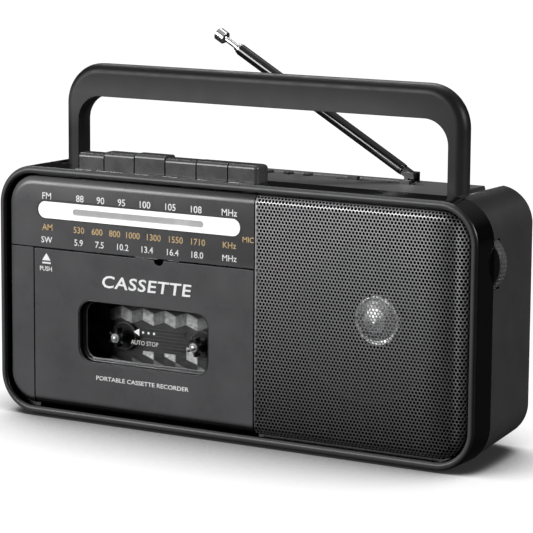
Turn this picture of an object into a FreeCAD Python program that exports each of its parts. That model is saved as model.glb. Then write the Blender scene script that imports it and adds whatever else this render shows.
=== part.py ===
"""Portable radio cassette recorder: cabinet, speaker, cassette deck, radio controls, antenna and handle.

Millimetres. +X is to the user's right, +Y runs from the front to the back, +Z is up. The origin is on the
surface that the recorder stands on, under the middle of the cabinet.
"""
import FreeCAD, Part
import math
import os
import re
import Sketcher
from FreeCAD import Placement, Rotation, Vector

SIZES = {
    # cabinet
    "half_width": 123.0, "base": 1.0, "top": 116.8, "corner": 18.4, "front": -32.0, "seam": -16.0,
    "back": 32.0, "rim": 3.4, "rim_round": 1.9, "rim_inner": 1.4, "wall": 2.4,
    "recess_floor": -26.2, "baffle_back": -24.2,
    "rear_half_width": 119.5, "rear_base": 5.0, "rear_corner": 16.0, "rear_edge": 4.0, "back_wall": 2.4,
    "deck_top": 115.5, "deck_half_width": 105.5, "deck_under": 113.0,
    # facia: dial panel, side trim, grille
    "facia_gap": 1.0, "facia_front": -31.0, "facia_depth": 4.7, "facia_roll": 4.0, "panel_wall": 1.8,
    "mesh_wall": 0.8, "panel_right": 14.2, "panel_bottom": 79.6, "trim_right": -104.3, "grille_left": 14.7,
    # dial
    "lens_left": -101.3, "lens_right": 7.0, "lens_middle": 97.1, "lens_height": 7.7, "lens_depth": 1.4,
    "slot_left": -82.1, "slot_right": -11.9, "slot_height": 2.9, "diffuser_height": 11.0,
    "pointer_x": -26.4, "pointer_width": 3.6, "pointer_front": -29.0, "pointer_height": 5.2,
    "shoe_width": 7.0, "shoe_front": -26.8, "shoe_back": -25.2, "shoe_height": 6.4,
    # cassette door
    "door_left": -103.7, "door_right": 14.0, "door_top": 78.9, "door_skin": 2.0, "door_axis_y": -26.5,
    "door_axis_z": 9.9, "door_roll": 4.5, "cheek": 1.5, "cheek_back": -19.0, "cheek_top": 72.0,
    "window_left": -79.4, "window_right": -9.1, "window_bottom": 28.1, "window_top": 57.3,
    "window_corner": 7.0, "pane_margin": 2.5, "pane_depth": 0.9, "notch_x": -35.6, "notch_radius": 2.5,
    "hinge_pin": 1.5, "ear_gap": 0.6, "ear_width": 3.8, "ear_front": -28.4, "ear_bottom": 8.0,
    "ear_top": 12.4,
    # cassette carrier
    "holder_front": -28.8, "holder_back": -11.8, "holder_base": 8.1, "holder_top": 66.0,
    "cassette_half": 50.4, "cassette_front": -25.4, "cassette_back": -12.8, "cassette_base": 9.6,
    "throat_half": 46.0, "throat_base": 14.0,
    # deck mechanism
    "deck_x": -44.8, "hub_z": 38.6, "hub_half_pitch": 21.25, "spindle_tip": -21.3, "disc_front": -12.9,
    "disc_radius": 6.8, "reel_pulley": 11.0, "well_left": -100.0, "well_right": 10.0, "well_bottom": 10.0,
    "well_top": 73.6, "well_front": -11.0, "well_back": -9.6, "rib_left": -57.2, "rib_right": -34.0,
    "rib_bottom": 32.6, "rib_pitch": 1.6, "rib_width": 0.7, "plate_left": -96.5, "plate_right": 11.0,
    "plate_bottom": 16.0, "plate_top": 102.0, "plate_front": -9.2, "plate_back": -8.0, "capstan_x": -65.3,
    "capstan_z": 68.1, "capstan_front": -22.5, "flywheel_radius": 18.0, "flywheel_front": -4.4,
    "motor_front": 1.1, "motor_x": -20.0, "motor_z": 88.0, "motor_radius": 12.5, "motor_length": 20.0,
    "motor_posts": 9.0, "pulley_radius": 3.5, "belt_width": 1.2,
    # heads
    "head_rest": 74.6, "head_travel": 5.0, "head_half": 6.2, "head_front": -27.0, "head_back": -16.4,
    "head_height": 12.0, "erase_left": -33.8, "erase_right": -27.8, "erase_front": -26.0,
    "erase_back": -17.0, "bridge_right": -24.8, "bridge_top": 104.0, "bridge_front": -15.4,
    "bridge_back": -14.2, "roller_radius": 6.2, "roller_front": -25.8,
    # keys
    "key_pitch": 16.4, "key_gap": 0.6, "key_first": -81.0, "key_joint": -1.9, "key_last": 13.3,
    "key_front": -27.2, "key_back": -18.2, "key_step": -25.2, "key_base": 112.8, "key_top": 124.6,
    "key_round": 1.8, "key_axis_y": 5.0, "key_axis_z": 110.0, "key_shaft_radius": 1.5, "key_well": 107.5,
    "lever_half": 2.5, "lever_bottom": 107.2, "lever_top": 111.8, "lever_boss": 2.8,
    # speaker
    "speaker_x": 67.0, "speaker_z": 59.4, "speaker_radius": 38.5, "cone_radius": 33.0, "cap_radius": 10.8,
    "magnet_radius": 17.0,
    # thumbwheels
    "wheel_x": 112.4, "wheel_z": 88.8, "wheel_radius": 14.0, "wheel_front": -15.4, "wheel_width": 6.0,
    "wheel_shaft": 2.5, "wheel_inside": 111.0, "wheel_window": 10.6, "knurl_depth": 0.4,
    # handle
    "handle_half_width": 103.5, "leg_width": 7.8, "handle_depth": 9.6, "handle_y": -1.8,
    "handle_pivot": 109.3, "handle_top": 162.9, "bar_height": 15.0, "handle_corner": 19.0,
    "grip_corner": 11.5, "handle_edge": 4.4, "handle_pin": 2.0, "pin_inner": 92.5, "pin_outer": 106.5,
    # antenna
    "antenna_x": 62.3, "antenna_y": 25.0, "antenna_z": 118.0, "antenna_tilt": 30.2, "barrel_radius": 2.7,
    "barrel_end": 103.5, "knob_middle": 115.0, "knob_radius": 3.0, "stem_radius": 3.2, "yoke_half": 2.4,
    # top controls
    "slider_y": 18.0, "band_x": 36.5, "function_x": 62.8, "slider_slot": 18.0, "slider_half": 2.4,
    "slot_half": 1.6, "button_y": 19.0, "button_radius": 2.2,
    # battery box
    "box_left": 1.9, "box_right": 113.1, "box_bottom": 8.9, "box_top": 67.6, "box_front": 1.0,
    "box_wall": 1.6, "contact_y": 16.0, "contact_half": 7.0, "contact_low": 24.5, "contact_high": 52.0,
    # board, coils, transformer
    "board_left": -108.0, "board_right": 100.0, "board_front": 26.0, "board_back": 27.6,
    "board_bottom": 31.0, "board_step": 70.0, "board_top": 100.0, "tuner_left": 84.0, "tuner_front": 14.0,
    "tuner_bottom": 79.0, "tuner_top": 97.0, "rod_left": -72.0, "rod_right": 18.0, "rod_y": 20.5,
    "rod_z": 105.0, "rod_radius": 4.0, "core_x": -57.0, "core_y": 15.0, "core_z": 24.0, "core_width": 34.0,
    "core_depth": 18.0, "core_height": 28.0, "coil_width": 24.0, "coil_depth": 24.0, "coil_height": 18.0,
    # mains inlet and headphone jack
    "inlet_x": -95.0, "inlet_z": 22.0, "inlet_width": 18.0, "inlet_height": 11.0, "inlet_front": 18.5,
    "inlet_floor": 21.0, "pin_spacing": 8.4, "jack_y": 4.0, "jack_z": 60.0, "jack_radius": 4.0,
    "jack_face": -121.6, "jack_shoulder": -116.0, "jack_end": -106.0,
    # feet and screws
    "foot_radius": 5.0, "foot_x": 95.0, "foot_front_y": -22.0, "foot_back_y": 22.0, "foot_height": 5.0,
    "screw_radius": 1.4, "screw_x": 111.2, "screw_z": 107.3, "screw_low_x": -111.0, "screw_low_z": 14.0,
    "screw_mid_x": 3.0, "screw_mid_z": 84.0, "screw_front": -23.5, "screw_seat": 28.6, "post_radius": 3.3,
}
BUTTON_X = (-8.0, 2.5, 12.5)
HUB_X = ("deck_x - hub_half_pitch", "deck_x + hub_half_pitch")
SCREWS = (("-screw_x", "screw_z"), ("screw_x", "screw_z"), ("screw_low_x", "screw_low_z"),
          ("screw_mid_x", "screw_mid_z"))
KEYS = ("pause", "stop_eject", "fast_forward", "rewind", "play", "record")
KEY_SLACK = (-0.4, 0.6, 1.0, 0.0, 0.1, 0.1)
PIN_REACH = (("-pin_outer", "-pin_inner"), ("pin_inner", "pin_outer"))

doc = FreeCAD.newDocument("RadioCassetteRecorder")
sheet = doc.addObject("Spreadsheet::Sheet", "Dims")
nodes = []


def fill_sheet():
    """Writes the driving dimensions to the sheet, one aliased cell each."""
    for row, (alias, value) in enumerate(SIZES.items(), 1):
        sheet.set(f"A{row}", alias)
        sheet.set(f"B{row}", str(value))
        sheet.setAlias(f"B{row}", alias)
    doc.recompute()


def formula(size):
    """A size written with the sheet's words, as an expression that points at their cells."""
    return re.sub(r"[a-z_]+", lambda word: f"Dims.{word[0]}" if word[0] in SIZES else word[0], str(size))


def number(size):
    """The value of such a size, in millimetres."""
    return float(sheet.evalExpression(formula(size)))


def bind(target, **sizes):
    """Binds properties to sizes. A double underscore in a name stands for a dot."""
    for name, size in sizes.items():
        target.setExpression(name.replace("__", "."), formula(size))
    return target


def node(name, item):
    """Names a finished piece and puts it on the list of pieces that are written out."""
    item.Label = name
    nodes.append(item)
    return item


# ---------------------------------------------------------------- primitives and booleans

def box(x, y, z):
    """A box between two sizes along each axis."""
    item = doc.addObject("Part::Box", "Block")
    bind(item, Placement__Base__x=x[0], Placement__Base__y=y[0], Placement__Base__z=z[0])
    spans = [f"({high}) - ({low})" for low, high in (x, y, z)]
    return bind(item, Length=spans[0], Width=spans[1], Height=spans[2])


TURN_TO = {"X": Rotation(Vector(0, 1, 0), 90), "Y": Rotation(Vector(1, 0, 0), -90), "Z": Rotation()}


def rod(axis, radius, start, end, at):
    """A cylinder along an axis from start to end. at holds its other two coordinates, in X, Y, Z order."""
    item = doc.addObject("Part::Cylinder", "Rod")
    item.Placement = Placement(Vector(), TURN_TO[axis])
    place = {"X": (start, *at), "Y": (at[0], start, at[1]), "Z": (*at, start)}[axis]
    bind(item, Placement__Base__x=place[0], Placement__Base__y=place[1], Placement__Base__z=place[2])
    return bind(item, Radius=radius, Height=f"({end}) - ({start})")


def fuse(*items):
    """One solid of several."""
    item = doc.addObject("Part::MultiFuse", "Union")
    item.Shapes = list(items)
    item.Refine = True
    return item


def cut(base, *tools):
    """A solid less one or more others."""
    item = doc.addObject("Part::Cut", "Difference")
    item.Base = base
    item.Tool = tools[0] if len(tools) == 1 else fuse(*tools)
    item.Refine = True
    return item


def common(first, second):
    """What two solids share."""
    item = doc.addObject("Part::Common", "Overlap")
    item.Base = first
    item.Tool = second
    return item


def group(*items):
    """Separate solids that are one node."""
    item = doc.addObject("Part::Compound", "Set")
    item.Links = list(items)
    return item


def rounded_edges(base, radius, wanted):
    """Fillets the edges of a Part object that a test picks out."""
    doc.recompute()
    item = doc.addObject("Part::Fillet", "Rounded")
    item.Base = base
    size = number(radius)
    item.Edges = [(n, size, size) for n, edge in enumerate(base.Shape.Edges, 1) if wanted(edge)]
    return item


# ---------------------------------------------------------------- bodies made from sketches

def sketch_on(body, role, offset):
    """A sketch on one of the body's own origin planes, moved along the plane's normal."""
    sketch = body.newObject("Sketcher::SketchObject", "Outline")
    sketch.AttachmentSupport = [(next(f for f in body.Origin.OriginFeatures if f.Role == role), "")]
    sketch.MapMode = "FlatFace"
    return bind(sketch, AttachmentOffset__Base__z=offset)


def dimension(sketch, name, kind, *where, size):
    """A named constraint that is bound to a size."""
    sketch.renameConstraint(sketch.addConstraint(Sketcher.Constraint(kind, *where, number(size))), name)
    sketch.setExpression(f"Constraints.{name}", formula(size))


def rounded_outline(sketch, left, right, bottom, top, radius):
    """A rectangle with four round corners."""
    low_x, high_x, low_y, high_y, turn = (number(size) for size in (left, right, bottom, top, radius))
    corners = [(high_x - turn, low_y + turn), (high_x - turn, high_y - turn),
               (low_x + turn, high_y - turn), (low_x + turn, low_y + turn)]
    sides = [((low_x + turn, low_y), (high_x - turn, low_y)),
             ((high_x, low_y + turn), (high_x, high_y - turn)),
             ((high_x - turn, high_y), (low_x + turn, high_y)),
             ((low_x, high_y - turn), (low_x, low_y + turn))]
    for start, end in sides:
        sketch.addGeometry(Part.LineSegment(Vector(*start, 0), Vector(*end, 0)), False)
    for quarter, centre in enumerate(corners):
        circle = Part.Circle(Vector(*centre, 0), Vector(0, 0, 1), turn)
        arc = Part.ArcOfCircle(circle, math.radians(90 * quarter - 90), math.radians(90 * quarter))
        sketch.addGeometry(arc, False)
    for side in range(4):
        sketch.addConstraint(Sketcher.Constraint("Tangent", side, 2, 4 + side, 1))
        sketch.addConstraint(Sketcher.Constraint("Tangent", 4 + side, 2, (side + 1) % 4, 1))
        sketch.addConstraint(Sketcher.Constraint("Vertical" if side % 2 else "Horizontal", side))
    for arc in (5, 6, 7):
        sketch.addConstraint(Sketcher.Constraint("Equal", 4, arc))
    dimension(sketch, "Corner", "Radius", 4, size=radius)
    dimension(sketch, "Left", "DistanceX", -1, 1, 3, 1, size=left)
    dimension(sketch, "Right", "DistanceX", -1, 1, 1, 1, size=right)
    dimension(sketch, "Bottom", "DistanceY", -1, 1, 0, 1, size=bottom)
    dimension(sketch, "Top", "DistanceY", -1, 1, 2, 1, size=top)
    return sketch


def polygon_outline(sketch, points):
    """A closed polygon. A coordinate of 0 is held on the axis, and any other is a bound distance."""
    corners = [Vector(number(x), number(y), 0) for x, y in points]
    for n, corner in enumerate(corners):
        sketch.addGeometry(Part.LineSegment(corner, corners[(n + 1) % len(corners)]), False)
    for n in range(len(corners)):
        sketch.addConstraint(Sketcher.Constraint("Coincident", n, 2, (n + 1) % len(corners), 1))
    for n, (x, y) in enumerate(points):
        for kind, axis, size in (("DistanceX", -2, x), ("DistanceY", -1, y)):
            if size == 0:
                sketch.addConstraint(Sketcher.Constraint("PointOnObject", n, 1, axis))
            else:
                dimension(sketch, f"{kind}{n}", kind, -1, 1, n, 1, size=size)
    return sketch


def pad_from(body, sketch, length, reverse=True):
    """Pads a sketch. On the XZ plane, reversed means towards +Y."""
    pad = body.newObject("PartDesign::Pad", "Pad")
    pad.Profile = sketch
    pad.Reversed = reverse
    return bind(pad, Length=length)


def slab(left, right, bottom, top, radius, front, back, name="Slab"):
    """A body: a rounded rectangle that faces the front, padded from front to back."""
    body = doc.addObject("PartDesign::Body", name)
    sketch = rounded_outline(sketch_on(body, "XZ_Plane", f"-({front})"), left, right, bottom, top, radius)
    pad_from(body, sketch, f"({back}) - ({front})")
    return body


def pocket_in(body, front, back, outline):
    """Cuts an outline out of a body between two places along Y, and checks that material went."""
    doc.recompute()
    before = body.Shape.Volume
    sketch = outline(sketch_on(body, "XZ_Plane", f"-({front})"))
    pocket = body.newObject("PartDesign::Pocket", "Pocket")
    pocket.Profile = sketch
    bind(pocket, Length=f"({back}) - ({front})")
    doc.recompute()
    if not body.Shape.Volume < before - 1e-3:
        raise ValueError(f"a pocket in {body.Name} cuts nothing")


def dress_up(body, kind, size, wanted):
    """Fillets or chamfers the edges of a body that a test picks out."""
    doc.recompute()
    base = body.Tip
    names = [f"Edge{n}" for n, edge in enumerate(base.Shape.Edges, 1) if wanted(edge)]
    item = body.newObject(f"PartDesign::{kind}", kind)
    item.Base = (base, names)
    bind(item, **{"Radius" if kind == "Fillet" else "Size": size})
    return item


def turned(points, axis, at, name="Turned"):
    """A body of revolution. points are (radius, distance along the axis). at is where distance 0 lies."""
    body = doc.addObject("PartDesign::Body", name)
    sketch = polygon_outline(sketch_on(body, "XZ_Plane", 0), points)
    turn = body.newObject("PartDesign::Revolution", "Revolution")
    turn.Profile = sketch
    turn.ReferenceAxis = (sketch, ["V_Axis"])
    turn.Angle = 360
    body.Placement = Placement(Vector(), TURN_TO[axis])
    return bind(body, Placement__Base__x=at[0], Placement__Base__y=at[1], Placement__Base__z=at[2])


def spread(edge, axis):
    """How far an edge reaches along an axis."""
    return getattr(edge.BoundBox, f"{axis}Length")


def lies_at(edge, axis, place):
    """True for an edge that lies at one place along an axis."""
    low, high = getattr(edge.BoundBox, f"{axis}Min"), getattr(edge.BoundBox, f"{axis}Max")
    return abs(low - place) < 1e-4 and abs(high - place) < 1e-4


# ---------------------------------------------------------------- cabinet

def front_housing():
    """The glossy front: a rim like a bead, a recess for the facia, and the baffle that everything mounts on."""
    body = slab("-half_width", "half_width", "base", "top", "corner", "front", "seam", "FrontHousing")
    dress_up(body, "Fillet", "rim_round", lambda edge: lies_at(edge, "Y", number("front")))
    pocket_in(body, "front", "recess_floor", lambda sketch: rounded_outline(
        sketch, "-half_width + rim", "half_width - rim", "base + rim", "top - rim", "corner - rim"))
    inner_top, inner_side = number("top - rim + 0.01"), number("half_width - rim + 0.01")
    dress_up(body, "Fillet", "rim_inner", lambda edge: lies_at(edge, "Y", number("front"))
             and edge.BoundBox.ZMax < inner_top and edge.BoundBox.XMax < inner_side
             and edge.BoundBox.XMin > -inner_side and edge.BoundBox.ZMin > number("base + rim - 0.01"))
    pocket_in(body, "baffle_back", "seam", lambda sketch: rounded_outline(
        sketch, "-half_width + wall", "half_width - wall", "base + wall", "top - wall", "corner - wall"))
    through = ("recess_floor - 1", "baffle_back + 1")
    openings = [
        box(("door_left - 0.4", "door_right + 0.4"), through, ("base + rim", "door_top + 0.4")),
        box(("capstan_x - 9", "deck_x + 25"), through, ("door_top - 1", "door_top + 11.1")),
        box(("slot_left - 6", "slot_right + 6"), through, ("lens_middle - 3.6", "lens_middle + 3.6")),
        rod("Y", "speaker_radius - 3.5", *through, ("speaker_x", "speaker_z")),
        box(("key_first - 0.5", "key_last + 0.5"), ("key_front - 1.6", "key_back + 0.6"),
            ("key_well", "top + 1")),
    ]
    openings += [rod("Z", "foot_radius", "base - 1", "base + 0.6", (f"{side} * foot_x", "foot_front_y"))
                 for side in (-1, 1)]
    ears = [box(reach, ("ear_front", "baffle_back"), ("ear_bottom", "ear_top")) for reach in
            (("door_left - ear_gap - ear_width", "door_left - ear_gap"),
             ("door_right + ear_gap", "door_right + ear_gap + ear_width"))]
    posts = [rod("Y", "post_radius", "baffle_back", "seam", place) for place in SCREWS]
    pins = [rod("X", "hinge_pin", f"{edge} - 6", f"{edge} + 6", ("door_axis_y", "door_axis_z"))
            for edge in ("door_left", "door_right")]
    threads = [rod("Y", "screw_radius", "screw_front", "seam + 1", place) for place in SCREWS]
    node("front_housing", cut(fuse(cut(body, *openings), *ears, *posts), *pins, *threads))


def wheel_opening(side):
    """The pocket in a side wall that a thumbwheel looks out of."""
    reach = ("wheel_inside", "half_width + 7") if side > 0 else ("-half_width - 7", "-wheel_inside")
    width = ("wheel_front - 0.6", "wheel_front + wheel_width + 0.6")
    swing = rod("Y", "wheel_radius + 0.6", *width, (f"{side} * wheel_x", "wheel_z"))
    return fuse(box(reach, width, ("wheel_z - wheel_window", "wheel_z + wheel_window")), swing)


def rear_shell():
    """The drafted rear shell, rounded at the back and hollow, with the deck let in between its shoulders."""
    body = doc.addObject("PartDesign::Body", "RearHousing")
    loft = body.newObject("PartDesign::AdditiveLoft", "Outside")
    loft.Profile = rounded_outline(sketch_on(body, "XZ_Plane", "-(seam)"), "-half_width + 0.3",
                                   "half_width - 0.3", "base + 0.2", "top", "corner - 0.2")
    loft.Sections = [rounded_outline(sketch_on(body, "XZ_Plane", "-(back)"), "-rear_half_width",
                                     "rear_half_width", "rear_base", "top", "rear_corner")]
    hollow = body.newObject("PartDesign::SubtractiveLoft", "Inside")
    hollow.Profile = rounded_outline(sketch_on(body, "XZ_Plane", "-(seam)"), "-half_width + wall + 0.3",
                                     "half_width - wall - 0.3", "base + wall", "deck_under", "corner - wall")
    hollow.Sections = [rounded_outline(sketch_on(body, "XZ_Plane", "-(back - back_wall)"),
                                       "-rear_half_width + wall", "rear_half_width - wall",
                                       "rear_base + wall", "deck_under", "rear_corner - wall")]
    dress_up(body, "Fillet", "rear_edge", lambda edge: lies_at(edge, "Y", number("back")))
    return body


def groove(side, spare, floor):
    """The slot that a handle leg stands in and folds back along, or the walls around it."""
    inner, outer = f"handle_half_width - leg_width - {spare}", f"handle_half_width + {spare}"
    reach = (inner, outer) if side > 0 else (f"-({outer})", f"-({inner})")
    return box(reach, (f"handle_y - handle_depth / 2 - {spare}", "back + 1" if floor else "back - back_wall"),
               (f"handle_pivot - handle_depth / 2 - {spare}", "top + 1" if floor else "deck_under"))


def rear_walls():
    """What stands inside the rear shell: groove, battery box and inlet walls, screw posts, key bearings."""
    walls = [groove(side, 2.2, False) for side in (-1, 1)]
    walls.append(box(("box_left", "box_right"), ("box_front", "back - back_wall"), ("box_bottom", "box_top")))
    walls += [rod("Y", "post_radius", "seam", "back - back_wall", place) for place in SCREWS]
    walls += [box(reach, ("key_axis_y - 3.5", "key_axis_y + 3.5"), ("key_axis_z - 5", "deck_under"))
              for reach in (("key_first - 4.4", "key_first - 0.9"), ("key_last + 0.9", "key_last + 4.4"))]
    walls.append(box(("inlet_x - inlet_width / 2 - 2", "inlet_x + inlet_width / 2 + 2"),
                     ("inlet_front - 1.5", "back - back_wall"),
                     ("inlet_z - inlet_height / 2 - 2", "inlet_z + inlet_height / 2 + 2")))
    return walls


def deck_openings():
    """The hollows in the deck: handle grooves, slots, button holes and the antenna's rest."""
    cuts = [groove(side, 0.5, True) for side in (-1, 1)]
    cuts.append(box(("-deck_half_width", "deck_half_width"), ("seam + 0.01", "back + 1"),
                    ("deck_top", "top + 1")))
    cuts += [box((f"{x} - slider_slot / 2", f"{x} + slider_slot / 2"),
                 ("slider_y - slot_half", "slider_y + slot_half"), ("deck_under - 1", "top"))
             for x in ("band_x", "function_x")]
    cuts += [rod("Z", "button_radius + 0.3", "deck_under - 1", "top", (x, "button_y")) for x in BUTTON_X]
    cuts.append(rod("Z", "stem_radius + 0.05", "deck_under - 1", "top", ("antenna_x", "antenna_y")))
    at_antenna = ("antenna_y", "antenna_z")
    cuts.append(rod("X", "barrel_radius + 0.5", "antenna_x - barrel_end", "antenna_x - 5", at_antenna))
    cuts.append(rod("X", "knob_radius + 0.6", "antenna_x - knob_middle - 4.5", "antenna_x - barrel_end + 1",
                    at_antenna))
    return cuts


def rear_openings():
    """The other openings of the rear housing: battery box, wheels, screws, shafts, feet, inlet and jack."""
    cuts = [
        box(("box_left + box_wall", "box_right - box_wall"), ("box_front + box_wall", "back + 1"),
            ("box_bottom + box_wall", "box_top - box_wall")),
        box(("box_left", "box_right"), ("back - back_wall + 0.2", "back + 1"), ("box_bottom", "box_top")),
        rod("X", "key_shaft_radius", "key_first - 3", "key_last + 3", ("key_axis_y", "key_axis_z")),
        inlet_block("back + 1"),
        rod("X", "jack_radius", "jack_face - 3.4", "jack_shoulder", ("jack_y", "jack_z")),
    ]
    cuts += [wheel_opening(side) for side in (-1, 1)]
    for place in SCREWS:
        cuts.append(rod("Y", "screw_radius + 0.2", "seam - 1", "back + 1", place))
        cuts.append(rod("Y", "screw_radius + 1.6", "screw_seat", "back + 1", place))
    cuts += [rod("X", "handle_pin", *reach, ("handle_y", "handle_pivot")) for reach in PIN_REACH]
    cuts += [rod("Z", "foot_radius", "-1", "foot_height", (f"{side} * foot_x", "foot_back_y"))
             for side in (-1, 1)]
    return cuts


def rear_housing():
    """The rear shell with its inner walls, and every opening in it."""
    node("rear_housing", cut(fuse(rear_shell(), *rear_walls()), *deck_openings(), *rear_openings()))


def inlet_block(back):
    """The block that the mains inlet fills, from its inner end to a place along Y."""
    return box(("inlet_x - inlet_width / 2", "inlet_x + inlet_width / 2"), ("inlet_front", back),
               ("inlet_z - inlet_height / 2", "inlet_z + inlet_height / 2"))


# ---------------------------------------------------------------- facia

def facia_shell(wall):
    """The whole facia as a shallow tray whose outer edge rolls back, with an even wall."""
    outside = rolled_block("0", "facia_roll", "facia_front + facia_depth")
    inside = rolled_block(wall, f"facia_roll - {wall}", "facia_front + facia_depth + 1")
    return cut(outside, inside)


def rolled_block(inset, roll, back):
    """A block that fills the facia's outline less an inset, its front edge rolled back."""
    edge = f"(rim + facia_gap + {inset})"
    body = slab(f"-half_width + {edge}", f"half_width - {edge}", f"base + {edge}", f"top - {edge}",
                f"corner - {edge}", f"facia_front + {inset}", back, "Facia")
    dress_up(body, "Fillet", roll, lambda item: lies_at(item, "Y", number(f"facia_front + ({inset})")))
    return body


def facia_pieces():
    """Dial panel, side trim and speaker grille, each a part of one rolled tray."""
    depth = ("facia_front - 1", "facia_front + facia_depth + 1")
    panel = common(facia_shell("panel_wall"), box(("-half_width", "panel_right"), depth,
                                                  ("panel_bottom", "top")))
    lens_slot = stadium("lens_left - 0.15", "lens_right + 0.15", "lens_middle", "lens_height + 0.3",
                        "facia_front - 1", "facia_front + 3")
    node("dial_panel", cut(panel, lens_slot))
    node("side_trim", common(facia_shell("panel_wall"), box(("-half_width", "trim_right"), depth,
                                                            ("base", "panel_bottom - 0.5"))))
    node("speaker_grille", common(facia_shell("mesh_wall"), box(("grille_left", "half_width"), depth,
                                                                ("base", "top"))))


def stadium(left, right, middle, height, front, back):
    """A slot-shaped slab with fully round ends."""
    half = f"({height}) / 2"
    return slab(left, right, f"{middle} - {half}", f"{middle} + {half}", f"{half} - 0.01", front, back,
                "Stadium")


def dial():
    """White dial lens with its narrow window, the backing behind it, and the pointer that runs between."""
    lens = stadium("lens_left", "lens_right", "lens_middle", "lens_height", "facia_front - 0.1",
                   "facia_front - 0.1 + lens_depth")
    window = stadium("slot_left", "slot_right", "lens_middle", "slot_height", "facia_front - 1",
                     "facia_front + 2")
    node("dial_lens", cut(lens, window))
    node("dial_diffuser", slab("slot_left - 9", "slot_right + 9", "lens_middle - diffuser_height / 2",
                               "lens_middle + diffuser_height / 2", 2.0, "baffle_back", "baffle_back + 1.2",
                               "Diffuser"))
    blade = box(("pointer_x - pointer_width / 2", "pointer_x + pointer_width / 2"),
                ("pointer_front", "shoe_back - 0.2"),
                ("lens_middle - pointer_height / 2", "lens_middle + pointer_height / 2"))
    shoe = box(("pointer_x - shoe_width / 2", "pointer_x + shoe_width / 2"), ("shoe_front", "shoe_back"),
               ("lens_middle - shoe_height / 2", "lens_middle + shoe_height / 2"))
    node("dial_pointer", fuse(blade, shoe))


# ---------------------------------------------------------------- speaker

def speaker():
    """Dynamic speaker behind the baffle: stamped basket, paper cone, bright dust cap and magnet."""
    place = ("speaker_x", "baffle_back", "speaker_z")
    node("speaker_frame", turned([
        ("cone_radius", 0.6), ("speaker_radius", 0.6), ("speaker_radius", 2.0), ("cone_radius + 2", 2.0),
        ("magnet_radius + 4", 15.0), ("magnet_radius + 4", 16.5), (6.0, 16.5), (6.0, 15.3),
        ("magnet_radius + 2", 15.3), ("cone_radius", 2.0)], "Y", place, "SpeakerFrame"))
    node("speaker_cone", turned([
        ("cone_radius - 0.1", 0.0), ("cone_radius - 0.1", 1.0), ("cone_radius - 3", 1.6),
        ("cap_radius + 1", 13.0), ("cap_radius + 1", 12.0), ("cone_radius - 3.4", 0.4)],
        "Y", place, "SpeakerCone"))
    node("speaker_dust_cap", turned([
        (0, 6.4), ("cap_radius / 2", 7.0), ("cap_radius * 0.83", 8.9), ("cap_radius", 11.2),
        ("cap_radius", 11.8), ("cap_radius * 0.8", 9.8), ("cap_radius * 0.47", 7.9), (0, 7.3)],
        "Y", place, "DustCap"))
    node("speaker_magnet", turned([
        (0, 16.6), ("magnet_radius", 16.6), ("magnet_radius", 23.0), (0, 23.0)], "Y", place, "SpeakerMagnet"))


# ---------------------------------------------------------------- cassette door

def cassette_door():
    """The door skin, rolled round its hinge line at the bottom, with cheeks, window and top notch."""
    at_hinge = ("door_axis_y", "door_axis_z")
    width = ("door_left", "door_right")
    sides = (("door_left", "door_left + cheek"), ("door_right - cheek", "door_right"))
    skin = box(width, ("facia_front", "facia_front + door_skin"), ("door_axis_z", "door_top"))
    roll = rod("X", "door_roll", *width, at_hinge)
    bore = rod("X", "door_roll - door_skin", "door_left + cheek", "door_right - cheek", at_hinge)
    quarter = box(width, ("door_axis_y - door_roll", "door_axis_y"),
                  ("door_axis_z - door_roll", "door_axis_z"))
    cheeks = [box(reach, ("facia_front + 0.5", "cheek_back"), ("door_axis_z", "cheek_top"))
              for reach in sides]
    bosses = [rod("X", "door_roll", *reach, at_hinge) for reach in sides]
    through = ("facia_front - 1", "facia_front + 4")
    window = slab("window_left", "window_right", "window_bottom", "window_top", "window_corner", *through,
                  "WindowOpening")
    notch = rod("Y", "notch_radius", *through, ("notch_x", "door_top"))
    pins = [rod("X", "hinge_pin + 0.05", f"{edge} - 5", f"{edge} + 5", at_hinge) for edge in width]
    roll_skin = common(cut(roll, bore), quarter)
    node("cassette_door", cut(fuse(skin, roll_skin, *cheeks, *bosses), window, notch, *pins))
    node("door_window", slab("window_left - pane_margin", "window_right + pane_margin",
                             "window_bottom - pane_margin", "window_top + pane_margin", "window_corner + 1.5",
                             "facia_front + door_skin", "facia_front + door_skin + pane_depth", "DoorWindow"))
    node("door_hinge_pins", group(
        rod("X", "hinge_pin", "door_left - ear_gap - ear_width", "door_left + cheek", at_hinge),
        rod("X", "hinge_pin", "door_right - cheek", "door_right + ear_gap + ear_width", at_hinge)))


def cassette_holder():
    """The carrier behind the door: two channels and a ledge that hold a cassette by its edges."""
    outside = box(("door_left + cheek", "door_right - cheek"), ("holder_front", "holder_back"),
                  ("holder_base", "holder_top"))
    height = ("cassette_base", "holder_top + 4")
    wide = ("deck_x - cassette_half", "deck_x + cassette_half")
    cassette = box(wide, ("cassette_front", "cassette_back"), height)
    front = box(wide, ("holder_front - 1.2", "cassette_front + 0.1"), height)
    throat = box(("deck_x - throat_half", "deck_x + throat_half"),
                 ("holder_front - 1.2", "holder_back + 1.8"), ("throat_base", "holder_top + 4"))
    hinge_room = [rod("X", "hinge_pin + 0.4", f"{edge} - 3", f"{edge} + 3", ("door_axis_y", "door_axis_z"))
                  for edge in ("door_left", "door_right")]
    lower_corner = box(("door_left", "door_right"), ("holder_front - 1.2", "door_axis_y"),
                       ("holder_base - 3", "door_axis_z"))
    node("cassette_holder", cut(outside, cassette, throat, front, *hinge_room, lower_corner))


# ---------------------------------------------------------------- mechanism

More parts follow.
